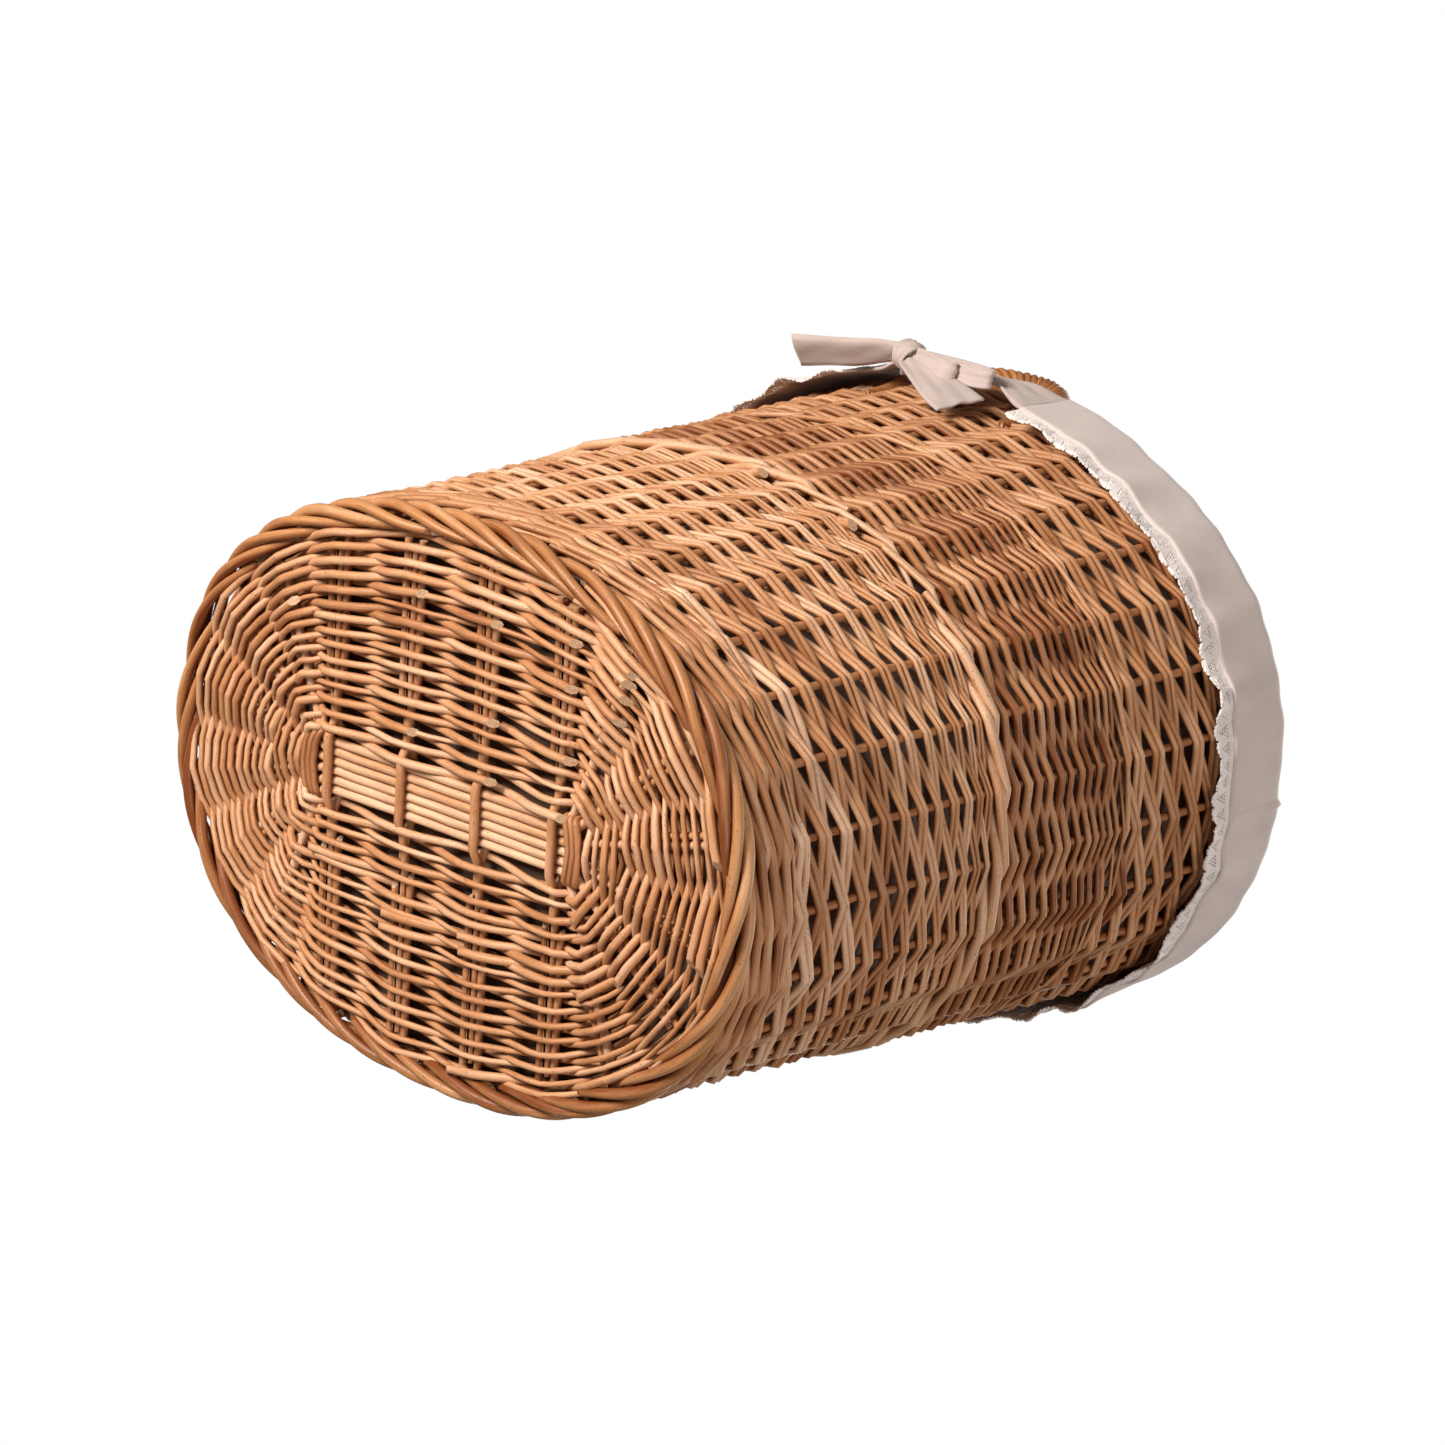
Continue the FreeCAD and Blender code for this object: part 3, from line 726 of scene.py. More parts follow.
# ---- cloth made into meshes
def oval(a, b, turn):
    """Points of the oval with half axes a and b."""
    c, s = np.cos(turn), np.sin(turn)
    power = 2 / FULLNESS
    return a * np.sign(c) * np.abs(c) ** power, b * np.sign(s) * np.abs(s) ** power


def flat_places(grid):
    """How far each point of a grid is from its first corner, measured in the cloth."""
    along = np.linalg.norm(np.diff(grid, axis=1), axis=2).mean(axis=0)
    down = np.linalg.norm(np.diff(grid, axis=0), axis=2).mean(axis=1)
    u, v = (np.concatenate([[0.0], np.cumsum(steps)]) for steps in (along, down))
    return np.stack([*np.meshgrid(u, v), np.zeros(grid.shape[:2])], axis=2)


def cloth(name, grids, thick, material, *nodes, shaded_back=0.0):
    """Sheets of cloth, each a grid of points, as one piece with two faces and closed edges.

    shaded_back is 1 for the bag, whose outer face takes the material's shaded back colour, darker than the front:
    mostly painted shade for the dark gaps of the weave in front of it, with a little of the cloth's duller back.
    """
    points, places, faces, shaded_backs = [], [], [], []
    count = 0
    for grid in grids:
        rows, columns = grid.shape[:2]
        size = rows * columns
        normal = unit(np.cross(np.gradient(grid, axis=1), np.gradient(grid, axis=0))) * thick / 2
        points += [(grid + normal).reshape(-1, 3), (grid - normal).reshape(-1, 3)]
        places += [flat_places(grid).reshape(-1, 3)] * 2
        shaded_backs += [np.full(size, shaded_back), np.zeros(size)]
        index = np.arange(size).reshape(rows, columns) + count
        quads = np.stack([index[:-1, :-1], index[:-1, 1:], index[1:, 1:], index[1:, :-1]], axis=2)
        quads = quads.reshape(-1, 4)
        edge = np.concatenate([index[0], index[1:, -1], index[-1, -2::-1], index[-2::-1, 0]])
        rim = np.stack([edge[1:], edge[:-1], edge[:-1] + size, edge[1:] + size], axis=1)
        faces += [quads, (quads + size)[:, ::-1], rim]
        count += 2 * size
    mesh = new_mesh(name, np.concatenate(points), faces)
    store(mesh, "cloth", np.concatenate(places))
    store(mesh, "back", np.concatenate(shaded_backs))
    return piece(mesh, material, "liner", "liner_cotton", *nodes)


def ripples(along, down, lengths, rng):
    """Soft uneven waves between about -1 and 1 across a cloth."""
    total = 0.0
    for length in lengths:
        slant = rng.normal(0, 0.5)
        total = total + np.sin(TURN * ((along + slant * down) / length + rng.random()))
    return total / len(lengths) ** 0.6


# ---- liner bag
LINER_TOP_A = box_mm("liner_wall_front")[1][0]
LINER_TOP_B = box_mm("liner_wall_back")[1][1]
FLOOR_A, FLOOR_B, LINER_FLOOR = box_mm("liner_floor")[1]
FOLD_Z = top_of("liner_wall_front")
LINER_THICK = 1.0
BAG_FOLD = 6.5             # depth of the folds at half height
BAG_WAVES = (163, 91, 59, 39)
FLOOR_WAVES = (230, 140, 85)
BAG_TURN = np.linspace(0, TURN, 421) + 0.04
BAG_RUN = BAG_TURN * (LINER_TOP_A + LINER_TOP_B) / 2


def bag_wall(rng):
    """The bag's tube of cloth, with soft upright folds that die out towards the rim."""
    z = np.linspace(LINER_FLOOR + 0.2, FOLD_Z - 4, 70)[:, None]
    share = (z - z[0]) / (z[-1] - z[0])
    deep = (1.2 + BAG_FOLD * np.sin(math.pi * share) ** 0.7 + 1.2 * share) * np.clip((1 - share) * 9, 0, 1)
    waves = ripples(BAG_RUN, 0.12 * z, BAG_WAVES, rng)
    waves[:, -1] = waves[:, 0]
    inward = LINER_THICK / 2 + 0.3 + deep * (0.5 + 0.5 * np.clip(waves, -1, 1))
    a = FLOOR_A + (LINER_TOP_A - FLOOR_A) * share - inward
    b = FLOOR_B + (LINER_TOP_B - FLOOR_B) * share - inward
    x, y = oval(a, b, BAG_TURN)
    return np.stack([x, y, np.broadcast_to(z, x.shape)], axis=2)


def bag_floor(rng):
    """The bag's floor, a little puffed between its middle and its edge."""
    ring = np.linspace(0.004, 1, 40)[:, None]
    waves = ripples(BAG_RUN, 60 * ring, FLOOR_WAVES, rng)
    puff = 0.5 + 1.3 * (0.5 + 0.5 * waves) * np.sin(math.pi * ring) ** 0.8
    x, y = oval((FLOOR_A - 0.9) * ring, (FLOOR_B - 0.9) * ring, BAG_TURN)
    return np.stack([x, y, LINER_FLOOR - 0.8 + puff], axis=2)


def make_liner(wall_material, floor_material):
    """The bag: its wall and its floor."""
    rng = seeded("liner")
    wall = cloth("liner_wall", [bag_wall(rng)], LINER_THICK, wall_material,
                 "liner_wall_front", "liner_wall_back", shaded_back=1.0)
    floor = cloth("liner_floor_cloth", [bag_floor(rng)], LINER_THICK, floor_material,
                  "liner_floor", shaded_back=1.0)


# ---- cuffs and lace
NOTCH_EDGES = {-1: box_mm("cuff_left")[1][0], 1: box_mm("cuff_right")[0][0]}
CUFF_THICK = 1.4
CUFF_RUN = 480.0           # length of a cuff along its fold, near enough for its waves
CUFF_COLUMNS = 401
CUFF_ROWS = 14             # of the part that hangs
CUFF_FOLD = (              # over the rim: share of the way from the bag to the outside, and height
    (0.00, -9.0), (0.00, -5.0), (0.04, -2.4), (0.16, -0.8), (0.38, 0.0),
    (0.62, 0.0), (0.84, -0.7), (0.96, -2.3), (1.00, -5.0),
)
CUFF_PULL = {-1: 1.5, 1: 6.0}     # how far the ties pull a cuff's corners out
CUFF_STAND = {-1: 6.5, 1: 0.0}    # the left cuff stands out from the wall near its front corner
STAND_REACH = 80                  # along the cuff, as the next one
CORNER_REACH = 42
CUFF_WAVES = (74, 43, 31)
WRINKLES = (61, 37, 22)
SEAM_PLACE = 0.53                 # of the seam across a cuff, as a share of its length
SEAM_WIDTH = 1.4


def end_turns(a, way):
    """Turns round one narrow end of an oval, from its front corner to its back corner."""
    corner = math.acos((abs(NOTCH_EDGES[way]) / a) ** (FULLNESS / 2))
    turn = np.linspace(-corner, corner, CUFF_COLUMNS)
    return turn if way > 0 else math.pi - turn


def near(place, reach):
    """1 at a place along a cuff, and falling off over reach to both sides."""
    share = np.linspace(0, 1, CUFF_COLUMNS)
    return np.exp(-(((share - place) * CUFF_RUN / reach) ** 2))


def cuff_levels():
    """Share of the way outside, height, depth below the fold from 0 to 1, and row, from the bag down."""
    levels = [(w, CUFF_TOP - CUFF_THICK / 2 + dz, 0.0, 0) for w, dz in CUFF_FOLD]
    start_z = levels[-1][1]
    for row in range(1, CUFF_ROWS + 1):
        depth = row / CUFF_ROWS
        levels.append((1.0, start_z + (CUFF_BOTTOM - start_z) * depth, depth, row))
    return levels


def cuff_grid(way):
    """The cloth of a cuff, from the bag over the rim and down the outside."""
    run = np.linspace(0, CUFF_RUN, CUFF_COLUMNS)
    hang = 1.6 + 1.9 * ripples(run, 0.0, CUFF_WAVES, seeded("cuff", way))
    wrinkle = [ripples(run, 40.0 * row / CUFF_ROWS, WRINKLES, seeded("wrinkles"))
               for row in range(CUFF_ROWS + 1)]
    corner = near(0, CORNER_REACH) + near(1, CORNER_REACH)
    rows = []
    for w, z, depth, row in cuff_levels():
        outer = w > 0.5
        a = LINER_TOP_A - 1.2 + (CUFF_A - LINER_TOP_A + 0.4) * w
        b = LINER_TOP_B - 1.2 + (CUFF_B - LINER_TOP_B + 0.4) * w
        x, y = oval(a, b, end_turns(a, way))
        out = CUFF_PULL[way] * corner * outer + hang * depth**1.6 * (1 - 0.8 * corner)
        out += (0.3 + 0.5 * wrinkle[row]) * (0.25 + depth) * outer
        out += near(SEAM_PLACE, SEAM_WIDTH) * (0.8 + 1.4 * outer * (depth < 0.15))
        out += CUFF_STAND[way] * depth * near(0, STAND_REACH)
        level = z + (0.8 * wrinkle[min(row + 2, CUFF_ROWS)] * (1 - depth) - 0.5) * outer
        nx, ny = np.gradient(y), -np.gradient(x)
        size = np.hypot(nx, ny) * way
        rows.append(np.stack([x + out * nx / size, y + out * ny / size, level], axis=1))
    return np.array(rows)[:, ::-way]


def make_cuff(material, lace_material, name, way):
    """A cuff with its lace. Gives the edges that hang at its front and back corners."""
    grid = cuff_grid(way)
    cuff = cloth("cuff_cloth_" + name, [grid], CUFF_THICK, material, "cuff_" + name)
    lace = make_lace(lace_material, "lace_trim_" + name, grid[-1], "lace_" + name)
    hanging = grid[len(CUFF_FOLD) - 2:]
    front, back = sorted((hanging[:, 0], hanging[:, -1]), key=lambda end: end[0, 1])
    return {"front": front, "back": back}


SCALLOP = 9.2
LACE_TAPE = 3.6            # plain band along the top of the lace
LACE_THICK = 0.8
LACE_TUCK = 1.5            # of the lace, behind the cuff's edge
HOLE = 0.62
HOLE_ROWS = 4              # with one hole fewer in each row
HOLE_PITCH = 1.9
SLIVER = 1e-6              # least area of a triangle


def lace_tile():
    """One scallop of lace, flat: loops of points, the outline first and then the holes."""
    straight = CUFF_BOTTOM - LACE_BOTTOM - 2.0
    outline = [(0.0, straight), (0.0, -LACE_TUCK), (SCALLOP / 2, -LACE_TUCK), (SCALLOP, -LACE_TUCK),
               (SCALLOP, straight)]
    for angle in np.linspace(0.06, 0.94, 21) * math.pi:
        picot = 0.28 * math.cos(10 * angle)
        wide, deep = SCALLOP / 2 - 0.1 + picot, 2.6 + picot
        outline.append((SCALLOP / 2 + wide * math.cos(angle), straight + deep * math.sin(angle)))
    loops = [outline]
    turn = np.arange(8) * TURN / 8
    for row in range(HOLE_ROWS):
        holes = HOLE_ROWS - row
        for i in range(holes):
            x = SCALLOP / 2 + (i - (holes - 1) / 2) * HOLE_PITCH
            y = LACE_TAPE + 0.9 + row * HOLE_PITCH * 0.9
            loops.append(list(zip(x + HOLE * np.cos(turn), y + HOLE * np.sin(turn))))
    return loops


def tile_faces(loops, flat):
    """Triangles of a tile's front and back layers, and of the walls between them round every loop."""
    size = len(flat)
    triangles = np.array(tessellate_polygon([[Vector((x, y, 0)) for x, y in loop] for loop in loops]))
    a, b, c = (flat[triangles[:, i]] for i in range(3))
    area = np.cross(b - a, c - a)
    triangles[area < 0] = triangles[area < 0][:, ::-1]
    triangles = triangles[np.abs(area) > SLIVER]
    walls = []
    first = 0
    for loop in loops:
        i = np.arange(len(loop)) + first
        j = np.roll(i, -1)
        walls.append(np.stack([i, j, j + size, i + size], axis=1))
        first += len(loop)
    walls = np.concatenate(walls)
    return [triangles, triangles[:, ::-1] + size, walls[:, [0, 1, 2]], walls[:, [0, 2, 3]]]


def make_lace(material, name, edge, node):
    """Lace along an edge: one flat scallop, repeated and bent to hang from the edge."""
    loops = lace_tile()
    flat = np.array([p for loop in loops for p in loop])
    size = len(flat)
    tile = tile_faces(loops, flat)
    run = lengths_along(edge)
    count = int(run[-1] / SCALLOP)
    stretch = run[-1] / (count * SCALLOP)
    tangent = np.gradient(edge, axis=0)
    normal = unit(np.stack([-tangent[:, 1], tangent[:, 0], np.zeros(len(edge))], axis=1))
    normal *= np.sign((normal * edge).sum(axis=1).mean())
    curl = np.clip(flat[:, 1] / 14, 0, 1)
    drop = np.outer(flat[:, 1], (0, 0, 1))
    rng = seeded("lace")
    points, places, faces = [], [], []
    for number in range(count):
        along = np.clip((number * SCALLOP + flat[:, 0]) * stretch, 0, run[-1])
        spot = sample(along, run, edge) - drop
        way = sample(along, run, normal)
        wave = 2.2 * np.sin(along / 7.3 + 1.3 * np.sin(along / 41)) + 1.2
        flare = curl**1.5 * wave + 0.25 * rng.normal(0, 1, size) * curl
        for layer in (0.5, -0.5):
            points.append(spot + way * (flare + layer * LACE_THICK - 0.9)[:, None])
            places.append(np.column_stack([along, flat[:, 1], np.full(size, layer)]))
        faces += [some + number * 2 * size for some in tile]
    mesh = new_mesh(name, np.concatenate(points), faces, smooth=False)
    store(mesh, "cloth", np.concatenate(places))
    return piece(mesh, material, "liner", "cotton_lace", node)


# ---- ties and bows
TIE_THICK = 1.6
KNOT = np.array([-34.0, -190.0, 380.0])
UP = (0.0, 0.0, 1.0)
TIE_SHAPES = {             # stations (x, y, z, width) of each strip, its way across, crumple, and if it is folded
    "right": (
        # the strap, the loop and the tail
        (((52, -178.5, 398, 44), (40, -180.5, 397, 33), (26, -183, 396, 20), (8, -185, 392, 13),
          (-30, -188, 383, 11)), UP, 0.8),
        (((-33, -190.5, 379, 9), (-23, -190.5, 376, 11), (-10, -189.5, 372, 12.5), (2, -188.5, 369, 12),
          (7, -188, 373, 10.5), (2, -188, 377, 10), (10, -188, 376, 10.5), (20, -187.5, 375, 11),
          (29, -187.5, 378, 10), (22, -187, 384, 10), (4, -187.5, 386, 10), (-32, -189.5, 382, 8.5)),
         (0.0, -1.0, 0.35), 0.4),
        (((-33, -189, 377, 10), (-24, -188, 372, 15), (-8, -185, 366, 21), (12, -180.5, 359, 27),
          (30, -177, 353, 30)), (0.0, -0.2, 1.0), 0.6),
    ),
    "left": (
        # the strap, and the tail that is folded along its middle
        (((-68, -173, 398, 44), (-60, -177, 394, 34), (-48, -181, 387, 22), (-36, -187, 382, 12)), UP, 0.8),
        (((-33, -192, 380, 9), (-48, -191, 376, 15), (-66, -188, 369, 19), (-84, -186, 363, 21),
          (-99, -184, 358, 22)), (0.0, -1.0, -0.85), 0.35, True),
    ),
}
KNOT_BANDS = {             # place from KNOT, axis, two radii and width
    "right": ((1, 1, 0), (1.0, 0.15, -0.3), (7.5, 8.5), 14),
    "left": ((-1, 2, 1), (0.7, -0.35, 0.55), (7.0, 7.0), 13),
}
BACK_Y = 175               # the back bow lies flatter from here out
BACK_FLATTER = 0.4


def smooth_run(values, count):
    """Values at the stations of a strip, smoothly filled in to count rows."""
    t = np.linspace(0, len(values) - 1, count)
    k = np.minimum(t.astype(int), len(values) - 2)
    u = (t - k).reshape(-1, *[1] * (values.ndim - 1))
    ends = np.concatenate([[2 * values[0] - values[1]], values, [2 * values[-1] - values[-2]]])
    return curve_through(*(ends[k + i] for i in range(4)), u)


def strip(rng, stations, across, crumple, folded=False, rows=44, columns=15):
    """A ribbon through stations (x, y, z, width). across is its width direction."""
    stations = np.array(stations, float)
    line = smooth_run(stations[:, :3], rows)
    width = smooth_run(stations[:, 3], rows)
    tangent = headings(line)
    side = np.broadcast_to(np.array(across, float), tangent.shape)
    side = unit(side - tangent * (side * tangent).sum(axis=1, keepdims=True))
    normal = np.cross(tangent, side)
    q = np.linspace(-1, 1, columns)
    spread = q
    rise = 0 * q
    if folded:
        spread = 1 - 2 * np.abs(q)
        rise = np.sign(q) * np.minimum(np.abs(q) * 6, 1) * (1.3 + 0.8 * (1 - spread))
    rise = rise + crumple * ripples(q * 24, np.linspace(0, 100, rows)[:, None], (17, 29, 41), rng)
    aside = spread * width[:, None] / 2
    return line[:, None] + side[:, None] * aside[..., None] + normal[:, None] * rise[..., None]


def knot_band(rng, place, axis, radii, width):
    """A band round the knot, with its ends tucked in behind."""
    axis = unit(np.array(axis, float))
    first = unit(np.cross(axis, UP))
    second = np.cross(first, axis)
    stations = []
    for t in np.linspace(0.6, 0.6 + TURN * 1.04, 11):
        spot = KNOT + place + first * math.cos(t) * radii[0] + second * math.sin(t) * radii[1]
        stations.append((*spot, width * (0.86 + 0.14 * math.cos(2 * t))))
    return strip(rng, stations, axis, crumple=0.9)


def sew_on(grid, end):
    """Moves the start of a strap, rows x columns, onto the end of its cuff, given from the top down."""
    rows, columns = grid.shape[:2]
    seam = sample(np.linspace(0, len(end) - 1, columns), np.arange(len(end)), end)
    if grid[0, 0, 2] < grid[0, -1, 2]:
        seam = seam[::-1]
    fade = np.clip(1 - np.linspace(0, 1, rows) / 0.45, 0, 1)
    fade = fade * fade * (3 - 2 * fade)
    return grid + fade[:, None, None] * (seam - grid[0])


def make_tie(material, side, hand, cuff_end):
    """One tie: its strap from the cuff, its loop if it has one, its tail and its band of the knot."""
    rng = seeded("tie", len(side) * 3 + len(hand))
    grids = [strip(rng, *shape) for shape in TIE_SHAPES[hand]]
    grids.append(knot_band(rng, *KNOT_BANDS[hand]))
    if side == "back":
        grids = [grid * (1, -1, 1) for grid in grids]
        for grid in grids:
            grid[..., 1] -= np.maximum(grid[..., 1] - BACK_Y, 0) * (1 - BACK_FLATTER)
    grids[0] = sew_on(grids[0], cuff_end)
    name = side + "_" + hand
    tie = cloth("bow_" + name, grids, TIE_THICK, material, "tie_" + name)


# ---- materials
class Graph:
    """The nodes of a material or a world, with short ways to add them."""

    def __init__(self, owner):
        owner.use_nodes = True
        self.owner = owner
        self.nodes = owner.node_tree.nodes
        self.links = owner.node_tree.links

    def fill(self, node, inputs):
        """Sets the inputs of a node, by name or number, to constants or to other nodes' outputs."""
        for key, value in inputs.items():
            socket = node.inputs[key]
            if isinstance(value, bpy.types.NodeSocket):
                self.links.new(value, socket)
            elif socket.type == "RGBA":
                socket.default_value = (*value, 1.0)
            else:
                socket.default_value = value

    def add(self, kind, inputs, **settings):
        """A new node."""
        node = self.nodes.new("ShaderNode" + kind)
        for key, value in settings.items():
            setattr(node, key, value)
        self.fill(node, inputs)
        return node

    def attribute(self, name, output="Fac"):
        """A value that store() gave to the vertices."""
        return self.add("Attribute", {}, attribute_name=name).outputs[output]

    def noise(self, place, stretch, scale, detail):
        """Noise of a size that differs along and across."""
        place = self.add("Mapping", {"Vector": place, "Scale": stretch}).outputs[0]
        return self.add("TexNoise", {"Vector": place, "Scale": scale, "Detail": detail}).outputs["Fac"]

    def math(self, kind, *values):
        """The result of some arithmetic."""
        return self.add("Math", dict(enumerate(values)), operation=kind).outputs[0]

    def swing(self, value, amount):
        """A value between 0 and 1, turned into one around 0."""
        return self.math("MULTIPLY", self.math("SUBTRACT", value, 0.5), amount)

    def ramp(self, factor, *stops):
        """Colours between stops, each a place and a colour."""
        node = self.add("ValToRGB", {"Fac": factor})
        while len(node.color_ramp.elements) < len(stops):
            node.color_ramp.elements.new(0.5)
        for element, (place, color) in zip(node.color_ramp.elements, stops):
            element.position = place
            element.color = (*color, 1.0)
        return node.outputs[0]

    def mix(self, factor, a, b):
        """Colour a where factor is 0, and b where it is 1."""
        return self.add("Mix", {"Factor": factor, 6: a, 7: b}, data_type="RGBA").outputs[2]

    def bump(self, height, strength, distance, **under):
        """Small relief, on top of the Normal in under."""
        inputs = {"Height": height, "Strength": strength, "Distance": distance, **under}
        return self.add("Bump", inputs).outputs[0]


def willow(name, pale, middle, dark, rough):
    """Peeled willow: streaks and specks along each rod, a tone for each rod, painted shade on each rod's inner
    side, and pale cut ends.
    """
    graph = Graph(bpy.data.materials.new(name))
    grain = graph.attribute("grain", "Vector")
    streaks = graph.noise(grain, (1.0, 1.0, 0.06), 1.1, 4.0)
    clouds = graph.noise(grain, (0.1, 0.1, 0.02), 1.0, 2.0)
    specks = graph.noise(grain, (1.0, 1.0, 0.55), 1.3, 1.0)
    rings = graph.noise(grain, (1.0, 1.0, 0.0), 1.6, 2.0)
    # Painted shade: the colour is darkened towards the dark stop on the side of each rod that faces into the
    # weave, where shade falls between the rods.
    painted_shade = graph.math("POWER", graph.attribute("painted_shade"), 1.6)
    tint = graph.math("ADD", graph.attribute("tone"), graph.swing(streaks, 0.55))
    tint = graph.math("ADD", tint, graph.swing(clouds, 0.7))
    tint = graph.math("SUBTRACT", tint, graph.math("MULTIPLY", painted_shade, 0.55))
    colors = graph.ramp(tint, (0.0, dark), (0.5, middle), (1.0, pale))
    speck_mask = graph.ramp(specks, (0.67, (0, 0, 0)), (0.73, (1, 1, 1)))
    bark = graph.mix(graph.math("MULTIPLY", speck_mask, 0.75), colors, (0.10, 0.032, 0.012))
    pith = graph.ramp(rings, (0.35, (0.38, 0.19, 0.09)), (0.65, (0.70, 0.46, 0.28)))
    graph.fill(graph.nodes["Principled BSDF"], {
        "Base Color": graph.mix(graph.attribute("cut"), bark, pith),
        "Roughness": graph.ramp(streaks, (0.3, (rough - 0.08,) * 3), (0.7, (rough + 0.12,) * 3)),
        "Coat Weight": 0.05,
        "Coat Roughness": 0.3,
        "Specular Tint": (1.0, 0.86, 0.7),
        "Normal": graph.bump(graph.math("SUBTRACT", streaks, speck_mask), 0.35, 0.4 * MM),
    })
    return graph.owner


def cotton(name, color, rough=0.85, grainy=0.12, sheen=0.25, shaded_back=(0.2, 0.12, 0.08)):
    """Woven cotton: two sets of fine threads, soft marks, a little fuzz, and a painted shade colour on the back
    face, darker than the front for the shade behind the weave.
    """
    graph = Graph(bpy.data.materials.new(name))
    place = graph.attribute("cloth", "Vector")
    warp = graph.noise(place, (1.0, 0.07, 1.0), 2.4, 1.0)
    weft = graph.noise(place, (0.07, 1.0, 1.0), 2.4, 1.0)
    creases = graph.noise(place, (1.0, 0.6, 1.0), 0.05, 3.0)
    threads = graph.math("MULTIPLY_ADD", weft, 1.0, warp)
    marks = graph.math("MULTIPLY_ADD", threads, 0.1, creases)
    colors = graph.ramp(marks, (0.3, tuple(c * 0.86 for c in color)), (0.7, color))
    fine = graph.bump(threads, 0.5, grainy * MM)
    graph.fill(graph.nodes["Principled BSDF"], {
        # Painted shade: where the back attribute is 1 the colour is shaded_back, darker than the cloth.
        "Base Color": graph.mix(graph.attribute("back"), colors, shaded_back),
        "Roughness": rough,
        "Sheen Weight": sheen,
        "Specular IOR Level": 0.2,
        "Normal": graph.bump(creases, 0.5, 2.0 * MM, Normal=fine),
    })
    return graph.owner


# ---- camera, light and floor
def make_camera():
    """The photograph's view, up at the base from below. Gives the view's right, up and back."""
    data = bpy.data.cameras.new("camera")
    data.sensor_width = 36.0
    data.lens = 125.4
    data.shift_x = 0.0015
    data.shift_y = -0.007
    data.clip_end = 50.0
    camera = add_object("camera", data)
    right = Vector((0.71366711, -0.05450126, 0.69836156))
    up = Vector((-0.22933947, -0.96020073, 0.15943015))
    back = Vector((0.66187813, -0.27394193, -0.69776297))
    turn = Matrix((right, up, back)).transposed().to_4x4()
    camera.matrix_world = Matrix.Translation((1.80663, -0.76528, -1.69738)) @ turn
    bpy.context.scene.camera = camera
    return right, up, back


def make_light(name, direction, distance, size, power, color):
    """A soft square lamp that looks at the middle of the basket."""
    data = bpy.data.lights.new(name, "AREA")
    data.shape = "SQUARE"
    data.size = size
    data.energy = power
    data.color = color
    lamp = add_object(name, data)
    middle = Vector((0, 0, RIM_TOP / 2 * MM))
    lamp.location = middle + direction.normalized() * distance
    lamp.rotation_mode = "QUATERNION"
    lamp.rotation_quaternion = (middle - lamp.location).to_track_quat("-Z", "Y")


def make_world():
    """White to look at, and a softer white as light."""
    graph = Graph(bpy.data.worlds.new("studio"))
    seen = graph.nodes["Background"]
    graph.fill(seen, {"Color": (1.0, 1.0, 1.0)})
    lit = graph.add("Background", {"Color": (1.0, 0.92, 0.84), "Strength": 0.17})
    camera_ray = graph.add("LightPath", {}).outputs["Is Camera Ray"]
    surface = graph.add("MixShader", {0: camera_ray, 1: lit.outputs[0], 2: seen.outputs[0]}).outputs[0]
    graph.fill(graph.nodes["World Output"], {"Surface": surface})
    bpy.context.scene.world = graph.owner


def make_floor():
    """A pale floor that is only there from above, as the camera looks up through it from below."""
    side = 4.0
    mesh = bpy.data.meshes.new("floor")
    corners = [(-side, -side, 0), (side, -side, 0), (side, side, 0), (-side, side, 0)]
    mesh.from_pydata(corners, [], [(0, 1, 2, 3)])
    graph = Graph(bpy.data.materials.new("floor_white"))
    shader = graph.nodes["Principled BSDF"]
    graph.fill(shader, {"Base Color": (0.92, 0.92, 0.92), "Roughness": 0.9})
    below = graph.add("NewGeometry", {}).outputs["Backfacing"]
    clear = graph.add("BsdfTransparent", {}).outputs[0]
    surface = graph.add("MixShader", {0: below, 1: shader.outputs[0], 2: clear}).outputs[0]
    graph.fill(graph.nodes["Material Output"], {"Surface": surface})
    mesh.materials.append(graph.owner)
    floor = add_object("floor", mesh)
    floor.visible_diffuse = False
    floor.visible_glossy = False
    floor.visible_shadow = False


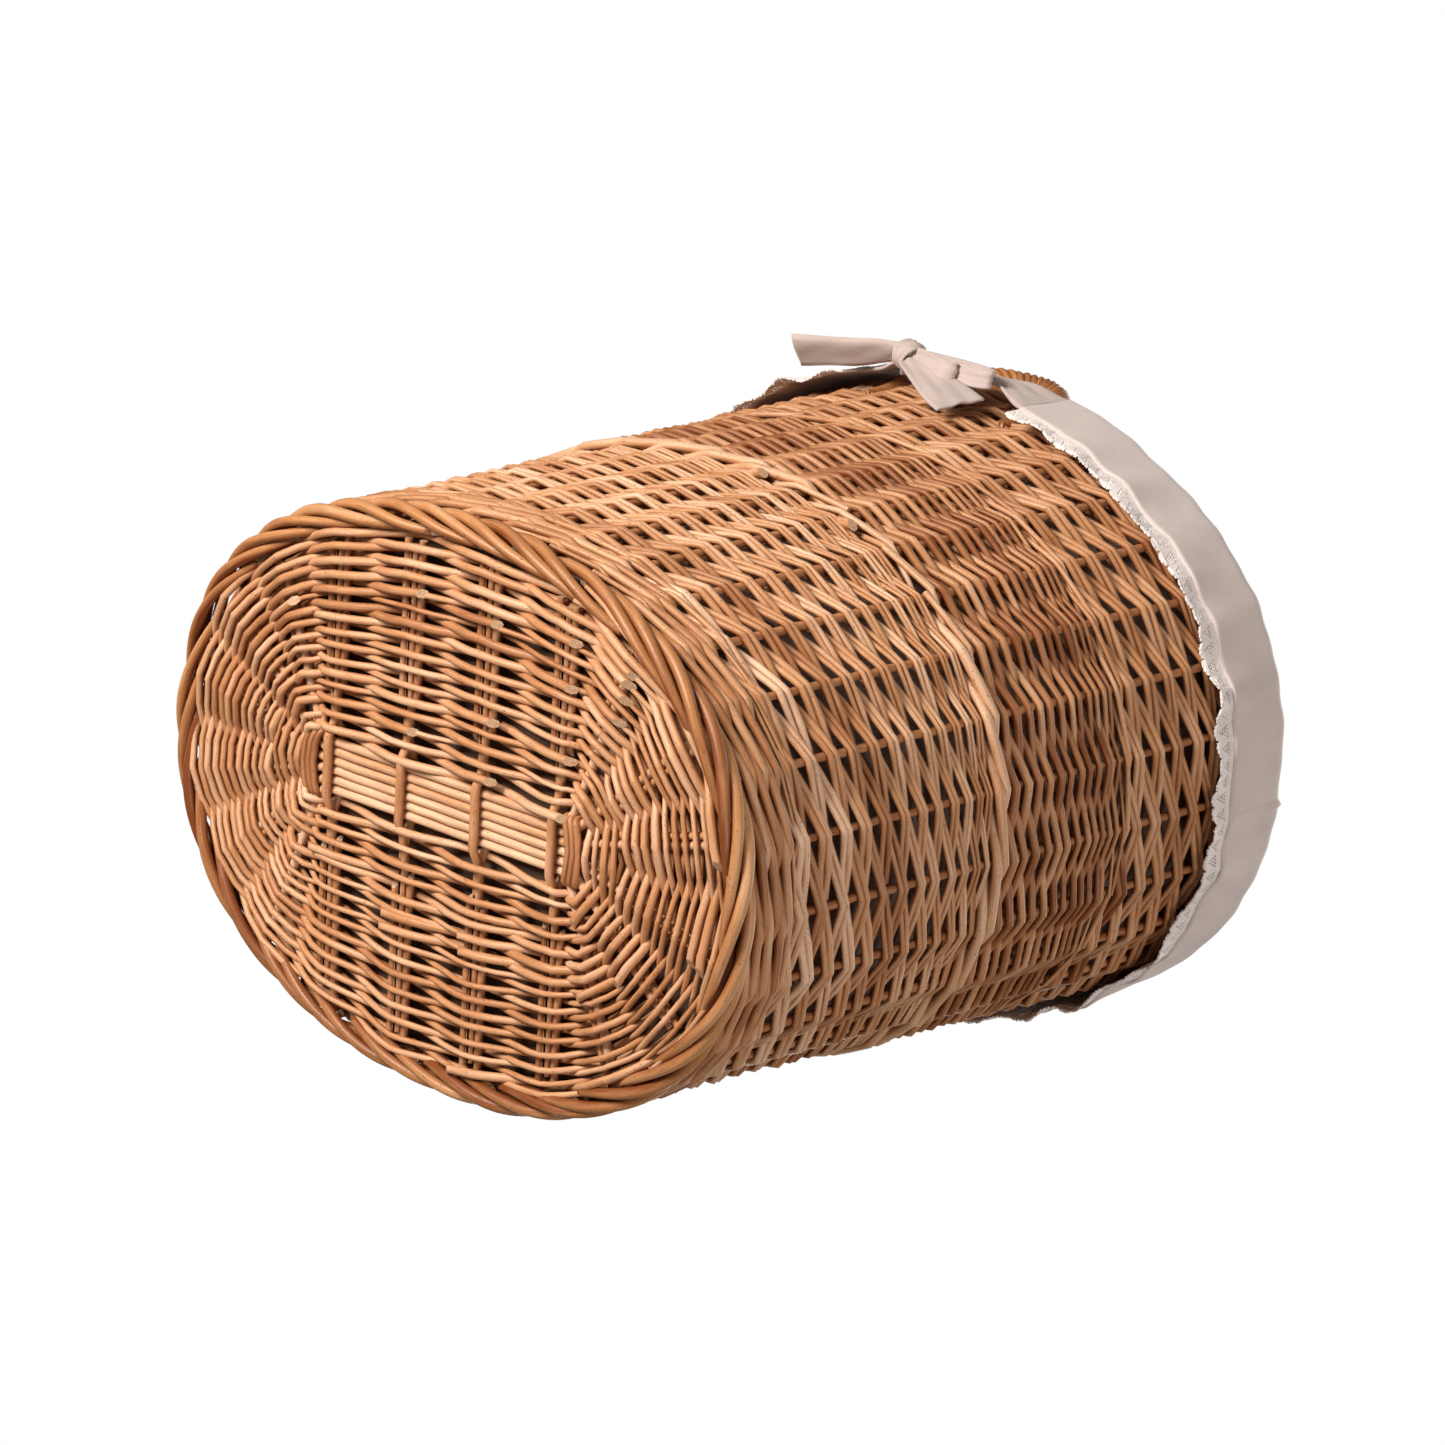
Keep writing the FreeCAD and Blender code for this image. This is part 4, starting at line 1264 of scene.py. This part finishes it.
# ---- everything
bpy.context.scene.view_settings.view_transform = "Standard"
right, up, back = make_camera()
make_world()
for name, direction, distance, size, power, color in (
    ("key", up * 0.75 - right * 0.8 + back * 0.8, 2.4, 1.0, 88, (1.0, 0.97, 0.94)),
    ("fill", right * 0.6 - up * 0.45 + back * 1.0, 3.0, 1.6, 38, (1.0, 0.98, 0.97)),
    ("overhead", Vector((0.1, 0.1, 1.0)), 2.4, 1.8, 34, (1.0, 0.99, 0.97)),
    ("behind", Vector((-0.9, 0.55, 0.9)), 2.6, 1.8, 34, (1.0, 0.98, 0.96)),
):
    make_light(name, direction, distance, size, power, color)
make_floor()

WILLOWS = {                # pale, middle and dark tone, and roughness
    "side": ((0.77, 0.495, 0.32), (0.52, 0.24, 0.104), (0.21, 0.054, 0.012), 0.47),
    "foot": ((0.70, 0.42, 0.23), (0.49, 0.212, 0.078), (0.20, 0.050, 0.011), 0.42),
    "base": ((0.77, 0.475, 0.295), (0.52, 0.23, 0.096), (0.22, 0.055, 0.012), 0.47),
    "handle": ((0.66, 0.37, 0.18), (0.44, 0.18, 0.06), (0.18, 0.046, 0.010), 0.42),
}
willows = {name: willow(name + "_willow", *look) for name, look in WILLOWS.items()}
make_stakes(willows["side"])
make_wall(willows["side"])
make_borders(willows["foot"], willows["side"])
make_base_sticks(willows["base"])
make_base_weave(willows["base"])
make_handle(willows["handle"], "front", -1)
make_handle(willows["handle"], "back", 1)

LINER_COLOR = (0.66, 0.55, 0.505)
liner_cotton = cotton("liner_cotton", LINER_COLOR)
# Painted shade: the bag's outer face, seen through the gaps of the weave, is darkened, warm on the wall and much
# darker under the floor, for the shade in those gaps.
wall_cotton = cotton("wall_cotton", LINER_COLOR, sheen=0.08, shaded_back=(0.31, 0.215, 0.17))
floor_cotton = cotton("floor_cotton", LINER_COLOR, sheen=0.02, shaded_back=(0.13, 0.075, 0.05))
# Painted shade: the ties are the liner's cloth, in a darker, warmer copy for the shade the bow hangs in.
shaded_tie_cotton = cotton("shaded_tie_cotton", (0.54, 0.43, 0.38))
lace_cotton = cotton("lace_cotton", (0.88, 0.79, 0.745), rough=0.9, grainy=0.3)
make_liner(wall_cotton, floor_cotton)
for hand, way in (("left", -1), ("right", 1)):
    cuff_ends = make_cuff(liner_cotton, lace_cotton, hand, way)
    for side in ("front", "back"):
        make_tie(shaded_tie_cotton, side, hand, cuff_ends[side])
